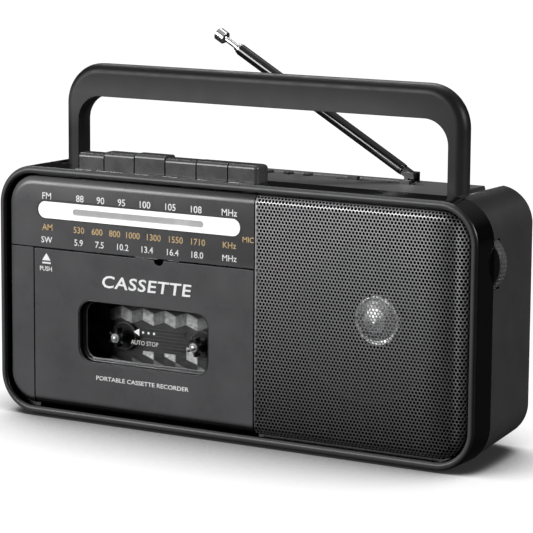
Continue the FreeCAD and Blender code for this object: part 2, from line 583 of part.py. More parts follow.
def well_plate():
    """The plate at the back of the cassette well, let through for the spindles and the capstan."""
    plate = slab("well_left", "well_right", "well_bottom", "well_top", 2.0, "well_front", "well_back",
                 "WellPlate")
    through = ("well_front - 1", "well_back + 1")
    holes = [rod("Y", 2.3, *through, (x, "hub_z")) for x in HUB_X]
    holes.append(rod("Y", 2.4, *through, ("capstan_x", "capstan_z")))
    ribs = [box(("rib_left", "rib_right"), ("well_front - 0.4", "well_front + 0.1"),
                (f"rib_bottom + rib_pitch * {rib}", f"rib_bottom + rib_pitch * {rib} + rib_width"))
            for rib in range(7)]
    node("well_plate", fuse(cut(plate, *holes), *ribs))


def mechanism_chassis():
    """The steel chassis plate with its bearing holes and the two posts that carry the motor."""
    plate = slab("plate_left", "plate_right", "plate_bottom", "plate_top", 3.0, "plate_front", "plate_back",
                 "Chassis")
    through = ("plate_front - 1", "plate_back + 1")
    holes = [rod("Y", 1.54, *through, (x, "hub_z")) for x in HUB_X]
    holes.append(rod("Y", 1.04, *through, ("capstan_x", "capstan_z")))
    holes.append(rod("Y", "post_radius + 0.4", *through, SCREWS[-1]))
    posts = [rod("Y", 2.2, "plate_back", "motor_front", ("motor_x", f"motor_z + {side} * motor_posts"))
             for side in (-1, 1)]
    stays = [box((f"{x} - 2", f"{x} + 2"), ("baffle_back", "plate_front"), (f"{z} - 2", f"{z} + 2"))
             for x, z in (("plate_left + 3", "plate_top - 3"), ("plate_right - 4.5", "plate_top - 5"))]
    node("mechanism_chassis", cut(fuse(plate, *posts, *stays), *holes))


def spindle(name, x):
    """A reel spindle: pointed tip, six fins, turntable, shaft and the reel pulley behind the chassis."""
    disc, pulley = "disc_front - spindle_tip", "plate_back - spindle_tip + 0.5"
    core = turned([(0, 0), (1.2, 0.2), (2.6, 2.2), (2.6, disc), ("disc_radius", disc),
                   ("disc_radius", f"{disc} + 1.4"), (1.5, f"{disc} + 1.4"), (1.5, pulley),
                   ("reel_pulley", pulley), ("reel_pulley", f"{pulley} + 1.8"), (0, f"{pulley} + 1.8")],
                  "Y", (x, "spindle_tip", "hub_z"), "Spindle")
    centre = Vector(number(x), 0, number("hub_z"))
    fins = []
    for turn in range(6):
        fin = group(box((f"{x} - 0.5", f"{x} + 0.5"), ("spindle_tip + 1.4", "spindle_tip + 5.8"),
                        ("hub_z", "hub_z + 4.4")))
        fin.Placement = Placement(Vector(), Rotation(Vector(0, 1, 0), 60 * turn), centre)
        fins.append(fin)
    node(name, fuse(core, *fins))


def drive_train():
    """Capstan and flywheel, motor and pulley, and the belt that runs round both."""
    node("capstan_shaft", rod("Y", 1.0, "capstan_front", "flywheel_front + 5", ("capstan_x", "capstan_z")))
    node("flywheel", turned([
        (1.0, 0), ("flywheel_radius", 0), ("flywheel_radius", 4.0), ("flywheel_radius - 3", 4.0),
        ("flywheel_radius - 3", 2.0), (4.0, 2.0), (4.0, 5.0), (1.0, 5.0)],
        "Y", ("capstan_x", "flywheel_front", "capstan_z"), "Flywheel"))
    node("drive_motor", turned([
        (0, 0), ("motor_radius", 0), ("motor_radius", "motor_length"), (4.0, "motor_length"),
        (4.0, "motor_length + 1.5"), (0, "motor_length + 1.5")],
        "Y", ("motor_x", "motor_front", "motor_z"), "Motor"))
    node("motor_pulley", turned([
        (0, 0), ("pulley_radius + 1", 0), ("pulley_radius + 1", 0.6), ("pulley_radius", 1.2),
        ("pulley_radius", 3.0), ("pulley_radius + 1", 3.6), ("pulley_radius + 1", 4.2), (0, 4.2)],
        "Y", ("motor_x", "flywheel_front - 0.1", "motor_z"), "MotorPulley"))
    node("drive_belt", drive_belt())


def drive_belt():
    """A thin flat loop: two arcs round the flywheel and the pulley, joined by the lines that touch both."""
    start = Vector(number("capstan_x"), 0, number("capstan_z"))
    end = Vector(number("motor_x"), 0, number("motor_z"))
    loops = []
    for spare in (0.3, 1.1):
        big, small = number("flywheel_radius") + spare, number("pulley_radius") + spare
        along = (end - start).normalize()
        across = Vector(-along.z, 0, along.x)
        lean = (big - small) / (end - start).Length
        rise = math.sqrt(1 - lean ** 2)
        upper, lower = along * lean + across * rise, along * lean - across * rise
        edges = [
            Part.LineSegment(start + upper * big, end + upper * small),
            Part.Arc(end + upper * small, end + along * small, end + lower * small),
            Part.LineSegment(end + lower * small, start + lower * big),
            Part.Arc(start + lower * big, start - along * big, start + upper * big),
        ]
        loops.append(Part.Wire([edge.toShape() for edge in edges]))
    band = Part.Face(loops[1]).cut(Part.Face(loops[0])).extrude(Vector(0, number("belt_width"), 0))
    belt = doc.addObject("Part::Feature", "Belt")
    belt.Shape = Part.Solid(band.Solids[0])
    belt.Placement = Placement(Vector(0, number("flywheel_front + 1.4"), 0), Rotation())
    return belt


def head_bridge():
    """The slide that carries the heads and the pinch roller down to the tape."""
    plate = slab("capstan_x - 6", "bridge_right", "head_rest + 2", "bridge_top", 2.0, "bridge_front",
                 "bridge_back", "HeadBridge")
    roller_z = "capstan_z + 1 + roller_radius + head_travel + 0.3"
    pin = rod("Y", 1.0, "roller_front - 0.6", "bridge_front", ("capstan_x", roller_z))
    head_width = ("deck_x - head_half", "deck_x + head_half")
    erase_width = ("erase_left", "erase_right")
    seat = box(head_width, ("head_back", "bridge_front"), ("head_rest + 2", "head_rest + head_height - 1"))
    erase_seat = box(erase_width, ("erase_back", "bridge_front"),
                     ("head_rest + 2", "head_rest + head_height - 3"))
    node("head_bridge", fuse(plate, pin, seat, erase_seat))
    for name, width, depth, low, lift, radius in (
            ("record_play_head", head_width, ("head_front", "head_back"), "head_rest", 0, 3.0),
            ("erase_head", erase_width, ("erase_front", "erase_back"), "head_rest + 0.6", 3, 1.5)):
        block = box(width, depth, (low, f"head_rest + head_height - {lift}"))
        node(name, rounded_edges(block, radius, lambda edge, low=low: lies_at(edge, "Z", number(low))
                                 and spread(edge, "Y") > 5))
    node("pinch_roller", turned([
        (1.04, 0), (3.0, 0), (3.0, 0.3), ("roller_radius", 0.3), ("roller_radius", 7.7), (3.0, 7.7),
        (3.0, 8.0), (1.04, 8.0)], "Y", ("capstan_x", "roller_front", roller_z), "PinchRoller"))


# ---------------------------------------------------------------- keys

def key_span(place):
    """Left and right side of a key."""
    left = "key_first" if place == 0 else f"key_joint + key_pitch * {place - 5} + key_gap / 2"
    right = "key_last" if place == 5 else f"key_joint + key_pitch * {place - 4} - key_gap / 2"
    return left, right


def key_cap(place, left, right, crown):
    """A key's cap with rounded top edges. The last one is rounded at its free end as well."""
    cap = box((left, right), ("key_front", "key_back"), ("key_base", crown))
    front, back, end = number("key_front"), number("key_back"), number("key_last")

    def wanted(edge):
        if lies_at(edge, "Z", number(crown)):
            return lies_at(edge, "Y", front) or lies_at(edge, "Y", back) or lies_at(edge, "X", end)
        return place == len(KEYS) - 1 and lies_at(edge, "X", end) and lies_at(edge, "Y", front)

    return rounded_edges(cap, "key_round", wanted)


def piano_keys():
    """Six piano keys on one shaft. Each has an upright cap, and a lever that runs back to the shaft."""
    at_shaft = ("key_axis_y", "key_axis_z")
    for place, (name, slack) in enumerate(zip(KEYS, KEY_SLACK)):
        left, right = key_span(place)
        middle, crown = f"(({left}) + ({right})) / 2", f"key_top + {slack}"
        narrow = (f"{middle} - lever_half", f"{middle} + lever_half")
        step = box((f"{left} - 1", f"{right} + 1"), ("key_front - 1", "key_step"),
                   ("key_base - 1", "top - 0.2"))
        lever = box(narrow, ("key_back - 4", "key_axis_y"), ("lever_bottom", "lever_top"))
        neck = box(narrow, ("key_back - 4", "key_back"), ("lever_bottom", "key_base + 0.5"))
        boss = rod("X", "lever_boss", *narrow, at_shaft)
        bore = rod("X", "key_shaft_radius + 0.05", f"{middle} - 9", f"{middle} + 9", at_shaft)
        cap = key_cap(place, left, right, crown)
        node(f"key_{name}", cut(fuse(cap, lever, neck, boss), step, bore))
    node("key_shaft", rod("X", "key_shaft_radius", "key_first - 3", "key_last + 3", at_shaft))


# ---------------------------------------------------------------- radio, controls and power

def block_about(x, y, z, width, depth, height):
    """A box about a middle point."""
    return box(*[(f"{middle} - {size} / 2", f"{middle} + {size} / 2")
                 for middle, size in ((x, width), (y, depth), (z, height))])


def electronics():
    """Main board with its screw holes, tuning capacitor, ferrite rod and mains transformer."""
    depth = ("board_front", "board_back")
    board = fuse(box(("board_left", "0"), depth, ("board_bottom", "board_top")),
                 box(("0", "board_right"), depth, ("board_step", "board_top")))
    holes = [rod("Y", "post_radius + 0.3", "board_front - 1", "board_back + 1", place) for place in SCREWS]
    node("main_circuit_board", cut(board, *holes))
    node("tuning_capacitor", box(("tuner_left", "board_right"), ("tuner_front", "board_front"),
                                 ("tuner_bottom", "tuner_top")))
    node("ferrite_rod", rod("X", "rod_radius", "rod_left", "rod_right", ("rod_y", "rod_z")))
    core = block_about("core_x", "core_y", "core_z", "core_width", "core_depth", "core_height")
    coil = block_about("core_x", "core_y - 1", "core_z", "coil_width", "coil_depth", "coil_height")
    node("power_transformer", fuse(core, coil))


def thumbwheel(name, side):
    """A knurled wheel on a short shaft that looks out through the side wall."""
    wheel = turned([(0, 0), ("wheel_radius - 0.8", 0), ("wheel_radius", 0.8),
                    ("wheel_radius", "wheel_width - 0.8"), ("wheel_radius - 0.8", "wheel_width"),
                    ("wheel_shaft", "wheel_width"), ("wheel_shaft", "2 * wheel_width"),
                    (0, "2 * wheel_width")],
                   "Y", (f"{side} * wheel_x", "wheel_front", "wheel_z"), "Thumbwheel")
    doc.recompute()
    tip = wheel.Tip
    groove_sketch = sketch_on(wheel, "XY_Plane", 0)
    root = "wheel_radius - knurl_depth"
    polygon_outline(groove_sketch, [(root, 0.35), (root, -0.35), ("wheel_radius + 1", -0.5),
                                    ("wheel_radius + 1", 0.5)])
    knurl = wheel.newObject("PartDesign::Pocket", "Knurl")
    knurl.Profile = groove_sketch
    knurl.Midplane = True
    bind(knurl, Length="4 * wheel_width")
    before = tip.Shape.Volume
    doc.recompute()
    if not knurl.Shape.Volume < before:
        raise ValueError("the knurl cuts nothing")
    ring = wheel.newObject("PartDesign::PolarPattern", "KnurlRing")
    ring.Originals = [knurl]
    ring.Axis = (next(f for f in wheel.Origin.OriginFeatures if f.Role == "Z_Axis"), [""])
    ring.Angle = 360
    ring.Occurrences = 44
    wheel.Tip = ring
    return node(name, wheel)


def top_controls():
    """Two slide switch knobs and three round buttons that stand in the deck."""
    for name, x in (("band_switch_knob", "band_x"), ("function_switch_knob", "function_x")):
        foot = (f"{x} - slider_half", f"{x} + slider_half"), ("slider_y - 1.3", "slider_y + 1.3")
        cap = box(*foot, ("deck_top - 2", "deck_top + 1.4"))
        stem = box(*foot, ("deck_under - 1", "deck_top - 1"))
        flange = box((f"{x} - 4.5", f"{x} + 4.5"), ("slider_y - 2 * slot_half", "slider_y + 2 * slot_half"),
                     ("deck_under - 2", "deck_under - 0.4"))
        node(name, fuse(cap, stem, flange))
    for name, x in zip(("left", "middle", "right"), BUTTON_X):
        node(f"round_button_{name}", turned([
            (0, -5.0), ("button_radius + 1", -5.0), ("button_radius + 1", -4.2), ("button_radius", -4.2),
            ("button_radius", 0.7), ("button_radius - 0.4", 1.1), (0, 1.1)],
            "Z", (x, "button_y", "deck_top"), "RoundButton"))


def power_and_jacks():
    """Battery cover and contacts, mains inlet with its two pins, and the headphone jack."""
    node("battery_cover", slab("box_left + 0.4", "box_right - 0.4", "box_bottom + 0.4", "box_top - 0.4", 1.0,
                               "back - back_wall + 0.2", "back", "BatteryCover"))
    contacts = []
    for left, faces_right in (("box_left + box_wall", True), ("box_right - box_wall - 0.5", False)):
        for z in ("contact_low", "contact_high"):
            plate = box((left, f"{left} + 0.5"), ("contact_y - contact_half", "contact_y + contact_half"),
                        (f"{z} - contact_half", f"{z} + contact_half"))
            start = f"{left} + 0.5" if faces_right else f"{left} - 4"
            contacts.append(fuse(plate, rod("X", 3.2, start, f"{start} + 4", ("contact_y", z))))
    node("battery_contacts", group(*contacts))
    places = [(f"inlet_x + {side} * pin_spacing / 2", "inlet_z") for side in (-1, 1)]
    socket = [rod("Y", 3.3, "inlet_floor", "back + 1", place) for place in places]
    socket.append(box(("inlet_x - pin_spacing / 2", "inlet_x + pin_spacing / 2"), ("inlet_floor", "back + 1"),
                      ("inlet_z - 3.1", "inlet_z + 3.1")))
    pins = [rod("Y", 1.2, "inlet_floor - 1", "back - 2", place) for place in places]
    node("ac_inlet", fuse(cut(inlet_block("back"), *socket), *pins))
    at_jack = ("jack_y", "jack_z")
    jack = rod("X", "jack_radius", "jack_face", "jack_shoulder", at_jack)
    barrel = rod("X", "jack_radius - 1", "jack_shoulder", "jack_end", at_jack)
    bore = rod("X", 1.8, "jack_face - 1.4", "jack_end - 2", at_jack)
    node("headphone_jack", cut(fuse(jack, barrel), bore))


def feet_and_screws():
    """Four rubber feet and the four screws that hold the housings together."""
    feet = [rod("Z", "foot_radius", "0", top, (f"{side} * foot_x", y)) for side in (-1, 1)
            for y, top in (("foot_front_y", "base + 0.6"), ("foot_back_y", "foot_height"))]
    node("rubber_feet", group(*feet))
    screws = [fuse(rod("Y", "screw_radius", "screw_front", "screw_seat", place),
                   rod("Y", "screw_radius + 1.3", "screw_seat", "screw_seat + 1.6", place))
              for place in SCREWS]
    node("housing_screws", group(*screws))


# ---------------------------------------------------------------- handle and antenna

def handle():
    """A U-shaped carrying handle. Its legs end in round bosses on the two pins that it folds about."""
    body = slab("-handle_half_width", "handle_half_width", "handle_pivot - 60", "handle_top", "handle_corner",
                "handle_y - handle_depth / 2", "handle_y + handle_depth / 2", "Handle")
    through = ("handle_y - handle_depth", "handle_y + handle_depth")
    pocket_in(body, *through, lambda sketch: rounded_outline(
        sketch, "-handle_half_width + leg_width", "handle_half_width - leg_width", "handle_pivot - 80",
        "handle_top - bar_height", "grip_corner"))
    foot = "handle_pivot - handle_depth / 2"
    pocket_in(body, *through, lambda sketch: polygon_outline(sketch, [
        ("-half_width", "handle_pivot - 90"), ("half_width", "handle_pivot - 90"), ("half_width", foot),
        ("-half_width", foot)]))
    low = number(foot)
    dress_up(body, "Fillet", "handle_depth / 2 - 0.05",
             lambda edge: lies_at(edge, "Z", low) and spread(edge, "X") > 5 and spread(edge, "Y") < 0.1)
    side, crown = number("handle_half_width - 0.01"), number("handle_top - 0.01")
    dress_up(body, "Fillet", "handle_edge", lambda edge: spread(edge, "Y") < 0.01
             and edge.BoundBox.ZMax > number("handle_pivot + 10")
             and (abs(edge.BoundBox.Center.x) > side or edge.BoundBox.ZMax > crown))
    at_pivot = ("handle_y", "handle_pivot")
    bores = [rod("X", "handle_pin + 0.05", *reach, at_pivot)
             for reach in (("-pin_outer", "-pin_inner - 0.5"), ("pin_inner + 0.5", "pin_outer"))]
    node("handle", cut(body, *bores))
    node("handle_pins", group(*[rod("X", "handle_pin", *reach, at_pivot) for reach in PIN_REACH]))


def antenna():
    """Telescopic antenna, pushed in and leaned over: swivel, barrel, two inner tubes and the tip rod."""
    pivot = ("antenna_x", "antenna_y", "antenna_z")
    stem = turned([(0, -9.0), ("stem_radius + 1.3", -9.0), ("stem_radius + 1.3", -7.6),
                   ("stem_radius", -7.6), ("stem_radius", -2.1), (0, -2.1)], "Z", pivot, "SwivelStem")
    cheeks = [box(("antenna_x - yoke_half", "antenna_x + yoke_half"),
                  (f"antenna_y + {near}", f"antenna_y + {far}"), ("antenna_z - yoke_half", "antenna_z + 1.9"))
              for near, far in ((-3.1, -2.0), (2.0, 3.1))]
    pin = rod("Y", 0.9, "antenna_y - 2.5", "antenna_y + 2.5", ("antenna_x", "antenna_z"))
    node("antenna_swivel", fuse(stem, *cheeks, pin))
    tubes = {
        "antenna_barrel": (2.41, "barrel_radius", 6.0, "barrel_end"),
        "antenna_section_outer": (1.86, 2.35, 8.0, "barrel_end + 1.2"),
        "antenna_section_inner": (1.31, 1.8, 9.0, "barrel_end + 2.6"),
    }
    for name, (bore, radius, start, end) in tubes.items():
        piece = turned([(bore, start), (radius, start), (radius, end), (bore, end)], "Z", pivot,
                       name.title().replace("_", ""))
        lean(piece)
        node(name, fuse(piece, barrel_root()) if name == "antenna_barrel" else piece)
    tip = turned([(0, 10.0), (1.25, 10.0), (1.25, "knob_middle - 2.8"), (2.2, "knob_middle - 2.6"),
                  ("knob_radius", "knob_middle - 1.9"), ("knob_radius", "knob_middle + 2.1"),
                  ("knob_radius - 0.4", "knob_middle + 2.6"), (0, "knob_middle + 2.6")],
                 "Z", pivot, "AntennaTip")
    lean(tip)
    node("antenna_tip", tip)


def barrel_root():
    """The tongue at the foot of the barrel, with its eye and the collar that the tube stands on."""
    tongue = fuse(box((-1.8, 1.8), (-1.8, 1.8), (0, 7.0)), rod("Y", 1.8, -1.8, 1.8, (0, 0)))
    collar = rod("Z", "barrel_radius - 0.1", 5.0, 7.4, (0, 0))
    root = cut(fuse(tongue, collar), rod("Y", 0.95, -3, 3, (0, 0)))
    lean(root)
    return root


def lean(piece):
    """Turns a piece that was made upright on the antenna's pivot to the antenna's rest angle."""
    piece.Placement = Placement(Vector(), Rotation(Vector(0, 1, 0), number("antenna_tilt") - 90))
    bind(piece, Placement__Base__x="antenna_x", Placement__Base__y="antenna_y",
         Placement__Base__z="antenna_z")


def check_and_write():
    """Stops on a failed object or shape, then writes one STEP file for each node."""
    doc.recompute()
    for item in doc.Objects:
        if {"Invalid", "Error"} & set(item.State):
            raise ValueError(f"{item.Name} is {item.State}")
    os.makedirs("parts", exist_ok=True)
    for item in nodes:
        if item.Shape.isNull() or not item.Shape.isValid() or not item.Shape.Solids:
            raise ValueError(f"{item.Label} has no valid solid")
        item.Shape.exportStep(f"parts/{item.Label}.step")
        print(f"{item.Label}: {len(item.Shape.Solids)} solid(s), {item.Shape.Volume:.0f} mm3")


fill_sheet()
front_housing()
rear_housing()
facia_pieces()
dial()
speaker()
cassette_door()
cassette_holder()
well_plate()
mechanism_chassis()
spindle("takeup_spindle", HUB_X[0])
spindle("supply_spindle", HUB_X[1])
drive_train()
head_bridge()
piano_keys()
electronics()
thumbwheel("tuning_wheel", 1)
thumbwheel("volume_wheel", -1)
top_controls()
power_and_jacks()
feet_and_screws()
handle()
antenna()
check_and_write()
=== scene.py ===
"""Looks of a portable radio cassette recorder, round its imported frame. Metres, in the frame's axes."""
import math

import bmesh
import bpy
from mathutils import Matrix, Vector


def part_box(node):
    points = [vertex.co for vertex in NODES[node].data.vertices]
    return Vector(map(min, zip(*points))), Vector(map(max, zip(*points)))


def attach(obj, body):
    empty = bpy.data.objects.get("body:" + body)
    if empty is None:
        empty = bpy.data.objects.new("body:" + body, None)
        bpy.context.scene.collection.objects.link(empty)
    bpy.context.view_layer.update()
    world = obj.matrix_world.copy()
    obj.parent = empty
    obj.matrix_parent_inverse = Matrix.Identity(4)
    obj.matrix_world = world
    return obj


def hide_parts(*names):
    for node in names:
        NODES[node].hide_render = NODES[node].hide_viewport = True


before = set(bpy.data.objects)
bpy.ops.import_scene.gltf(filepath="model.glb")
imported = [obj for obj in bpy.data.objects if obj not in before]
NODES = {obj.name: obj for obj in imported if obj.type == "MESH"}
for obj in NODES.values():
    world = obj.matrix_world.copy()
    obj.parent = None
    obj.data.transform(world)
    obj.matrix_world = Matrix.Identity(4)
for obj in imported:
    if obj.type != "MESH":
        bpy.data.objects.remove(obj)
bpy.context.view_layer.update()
MM = 0.001


# ---------------------------------------------------------------- materials

class Finish:
    """A node material under construction: a Principled shader fed by object-space textures."""

    def __init__(self, name, color, rough, metallic=0.0, specular=0.5):
        self.mat = bpy.data.materials.new(name)
        self.mat.use_nodes = True
        self.tree = self.mat.node_tree
        self.shader = self.tree.nodes["Principled BSDF"]
        self.shader.inputs["Metallic"].default_value = metallic
        self.shader.inputs["Specular IOR Level"].default_value = specular
        self.shader.inputs["Base Color"].default_value = (*color, 1)
        self.shader.inputs["Roughness"].default_value = rough
        self.color, self.rough = color, rough
        self.place = self.add("ShaderNodeTexCoord").outputs["Object"]

    def add(self, kind, **values):
        made = self.tree.nodes.new(kind)
        for key, value in values.items():
            setattr(made, key, value)
        return made

    def link(self, out, into):
        self.tree.links.new(out, into)

    def stretched(self, stretch):
        """Object coordinates scaled along each axis."""
        mapping = self.add("ShaderNodeMapping")
        mapping.inputs["Scale"].default_value = stretch
        self.link(self.place, mapping.inputs["Vector"])
        return mapping.outputs["Vector"]

    def noise(self, size, detail=3.0, stretch=(1, 1, 1)):
        """Noise whose features are about this many millimetres across."""
        made = self.add("ShaderNodeTexNoise")
        made.inputs["Scale"].default_value = 1 / (size * MM)
        made.inputs["Detail"].default_value = detail
        self.link(self.stretched(stretch), made.inputs["Vector"])
        return made.outputs["Fac"]

    def ranged(self, value, low, high, start=0.3, end=0.7):
        """A value moved from one range to another."""
        made = self.add("ShaderNodeMapRange")
        for key, number in (("From Min", start), ("From Max", end), ("To Min", low), ("To Max", high)):
            made.inputs[key].default_value = number
        self.link(value, made.inputs["Value"])
        return made.outputs["Result"]

    def math(self, operation, first, second):
        """One arithmetic step on two values."""
        made = self.add("ShaderNodeMath", operation=operation)
        for socket, value in zip(made.inputs, (first, second)):
            if isinstance(value, (int, float)):
                socket.default_value = value
            else:
                self.link(value, socket)
        return made.outputs["Value"]

    def blend(self, factor, first, second):
        """A colour between two others. Each is a tuple or an output."""
        made = self.add("ShaderNodeMix", data_type="RGBA")
        self.link(factor, made.inputs["Factor"])
        for socket, value in ((made.inputs["A"], first), (made.inputs["B"], second)):
            if isinstance(value, tuple):
                socket.default_value = (*value, 1)
            else:
                self.link(value, socket)
        return made.outputs["Result"]

    def mottled(self, spread=0.2, size=14.0):
        """Slight colour variation: broad clouds with a fine grain over them."""
        low = tuple(c * (1 - spread) for c in self.color)
        high = tuple(min(1.0, c * (1 + spread)) for c in self.color)
        cloud = self.math("MULTIPLY", self.noise(size, 4.0), 0.75)
        fine = self.math("MULTIPLY", self.noise(size / 22, 2.0), 0.25)
        made = self.blend(self.ranged(self.math("ADD", cloud, fine), 0, 1, 0.35, 0.65), low, high)
        self.link(made, self.shader.inputs["Base Color"])
        return made

    def handled(self, spread=0.06, size=9.0, stretch=(1, 1, 1)):
        """Roughness that varies in soft patches, as a handled surface does, with faint rub lines."""
        patch = self.ranged(self.noise(size, 5.0), self.rough - spread, self.rough + spread)
        lines = self.ranged(self.noise(0.7, 2.0, stretch), -spread / 3, spread / 3)
        self.link(self.math("ADD", patch, lines), self.shader.inputs["Roughness"])

    def grained(self, size, depth, stretch=(1, 1, 1), soft=0.3):
        """A fine relief over edges that are slightly rounded. Sizes are in millimetres."""
        bump = self.add("ShaderNodeBump")
        bump.inputs["Distance"].default_value = depth * MM
        bump.inputs["Strength"].default_value = 1.0
        self.link(self.noise(size, 2.0, stretch), bump.inputs["Height"])
        if soft:
            self.link(self.rounding(soft), bump.inputs["Normal"])
        self.link(bump.outputs["Normal"], self.shader.inputs["Normal"])

    def rounding(self, radius):
        """Surface directions as if every edge were rounded to this many millimetres."""
        made = self.add("ShaderNodeBevel", samples=4)
        made.inputs["Radius"].default_value = radius * MM
        return made.outputs["Normal"]

    def rubbed(self, base, radius=0.6, gain=2.2):
        """Lightens a colour along edges, where hands and shelves rub it."""
        turned = self.add("ShaderNodeVectorMath", operation="DOT_PRODUCT")
        self.link(self.rounding(radius), turned.inputs[0])
        self.link(self.add("ShaderNodeNewGeometry").outputs["Normal"], turned.inputs[1])
        edge = self.ranged(turned.outputs["Value"], 1, 0, 0.8, 0.99)
        worn = self.math("MULTIPLY", edge, self.ranged(self.noise(4, 4.0), 0.1, 1.0))
        lighter = tuple(min(1.0, c * gain) for c in self.color)
        self.link(self.blend(worn, base, lighter), self.shader.inputs["Base Color"])

    def facing(self, axis, start, end):
        """From 0 to 1 as the surface's direction along an axis goes from start to end."""
        split = self.add("ShaderNodeSeparateXYZ")
        self.link(self.add("ShaderNodeNewGeometry").outputs["Normal"], split.inputs["Vector"])
        return self.ranged(split.outputs[axis], 0, 1, start, end)

    def shaded(self, base, shade, *ranges):
        """Goes over to another colour where the surface turns: each range is an axis, a start and an end."""
        most = self.facing(*ranges[0])
        for limits in ranges[1:]:
            most = self.math("MAXIMUM", most, self.facing(*limits))
        self.link(self.blend(most, base, shade), self.shader.inputs["Base Color"])

    def along(self, axis):
        """One object coordinate, in metres."""
        split = self.add("ShaderNodeSeparateXYZ")
        self.link(self.place, split.inputs["Vector"])
        return split.outputs[axis]


def plastic(name, color, rough, grain=(0.5, 0.012), spread=0.15, specular=0.5, size=14.0, worn=False):
    """Moulded plastic. worn lightens its edges."""
    made = Finish(name, color, rough, specular=specular)
    base = made.mottled(spread, size)
    if worn:
        made.rubbed(base)
    made.handled(min(0.06, rough / 3))
    made.grained(*grain)
    return made.mat


def metal(name, color, rough, stretch=(1, 1, 1), grain=(0.4, 0.004)):
    """Bare or plated metal, with its grain along one way."""
    made = Finish(name, color, rough, metallic=1.0)
    made.mottled(0.1, 6.0)
    made.handled(0.05, 5.0, stretch)
    made.grained(*grain, stretch=stretch)
    return made.mat


def cabinet_front():
    """Gloss black housing with deep black sides. Its front bead carries a painted grey highlight, with painted
    shade where it faces right.
    """
    made = Finish("housing_gloss", (0.004, 0.004, 0.0045), 0.14, specular=0.25)
    rim = made.ranged(made.along("Y"), 1, 0, -31.1 * MM, -30.5 * MM)
    base = made.blend(made.noise(12, 4.0), (0.0008, 0.0008, 0.001), (0.0022, 0.0022, 0.0025))
    # Painted highlight: the grey of the front bead stands in for the light it catches.
    bead_painted_highlight = made.blend(made.noise(3, 4.0), (0.052, 0.052, 0.054), (0.066, 0.066, 0.068))
    # Painted shade: the bead goes near black where it faces right.
    grey = made.blend(made.facing("X", 0.05, 0.5), bead_painted_highlight, (0.008, 0.008, 0.009))
    made.link(made.blend(rim, base, grey), made.shader.inputs["Base Color"])
    patch = made.ranged(made.noise(9, 5.0), 0.10, 0.18)
    made.link(made.math("ADD", patch, made.math("MULTIPLY", rim, 0.2)), made.shader.inputs["Roughness"])
    made.grained(0.6, 0.003, soft=0.2)
    return made.mat


def panel_gloss():
    """Satin grey front panels with painted light: a painted sheen along the top, painted shade towards the
    right of the dial panel, and near black painted shade on the lower roll and cut edges.
    """
    made = Finish("panel_gloss", (0.066, 0.066, 0.069), 0.3, specular=0.4)
    base = made.mottled(0.08, 25.0)
    across, height = made.along("X"), made.along("Z")
    # Painted shade: the dial panel darkens towards the right.
    upper = made.ranged(height, 0, 1, 78 * MM, 82 * MM)
    dim = made.math("MULTIPLY", upper, made.ranged(across, 0, 1, -70 * MM, 14 * MM))
    # Painted highlight: a sheen along the top, strongest at the left.
    painted_sheen = made.math("MULTIPLY", made.ranged(height, 0, 1, 100 * MM, 109 * MM),
                      made.ranged(across, 0.15, 1, 10 * MM, -95 * MM))
    base = made.blend(painted_sheen, made.blend(dim, base, (0.036, 0.036, 0.038)), (0.115, 0.115, 0.118))
    # Painted shade: near black on the lower roll and on edges that turn away from the front.
    made.shaded(base, (0.004, 0.004, 0.004), ("Z", -0.12, -0.4), ("Y", -0.5, -0.35))
    made.handled(0.05, 16.0, (1, 1, 8))
    made.grained(1.2, 0.004, soft=0.4)
    return made.mat


def shell_satin():
    """Satin black rear shell. Painted shade makes the tops of its shoulders beside the deck darker than its
    sides.
    """
    made = Finish("shell_matte", (0.036, 0.036, 0.037), 0.42, specular=0.27)
    outward = made.ranged(made.math("ABSOLUTE", made.along("X"), 0.0), 0, 1, 104 * MM, 106 * MM)
    base = made.mottled(0.1, 14.0)
    # Painted shade on the upward-facing shoulders beside the deck.
    top_painted_shade = made.blend(outward, base, (0.003, 0.003, 0.003))
    made.shaded(base, top_painted_shade, ("Z", 0.6, 0.9))
    made.handled(0.05, 9.0)
    made.grained(0.35, 0.014)
    return made.mat


def handle_satin():
    """Satin black handle with painted shade: darker along its top, on its legs and to the right."""
    made = Finish("handle_matte", (0.047, 0.047, 0.049), 0.42, specular=0.2)
    # Painted shade: darker towards the right end.
    low = made.blend(made.ranged(made.along("X"), 0, 1, 60 * MM, 103 * MM), made.mottled(0.1, 9.0),
                     (0.012, 0.012, 0.013))
    # Painted shade on the legs, below the bar.
    leg_painted_shade = made.blend(made.ranged(made.along("Z"), 1, 0, 132 * MM, 144 * MM), low, (0.017, 0.017, 0.018))
    # Painted shade along the top of the bar and on faces that turn upward.
    base = made.blend(made.ranged(made.along("Z"), 0, 1, 150 * MM, 160 * MM), leg_painted_shade, (0.008, 0.008, 0.009))
    made.shaded(base, (0.004, 0.004, 0.004), ("Z", 0.02, 0.5))
    made.handled(0.05, 6.0)
    made.grained(0.35, 0.014, soft=0.5)
    return made.mat


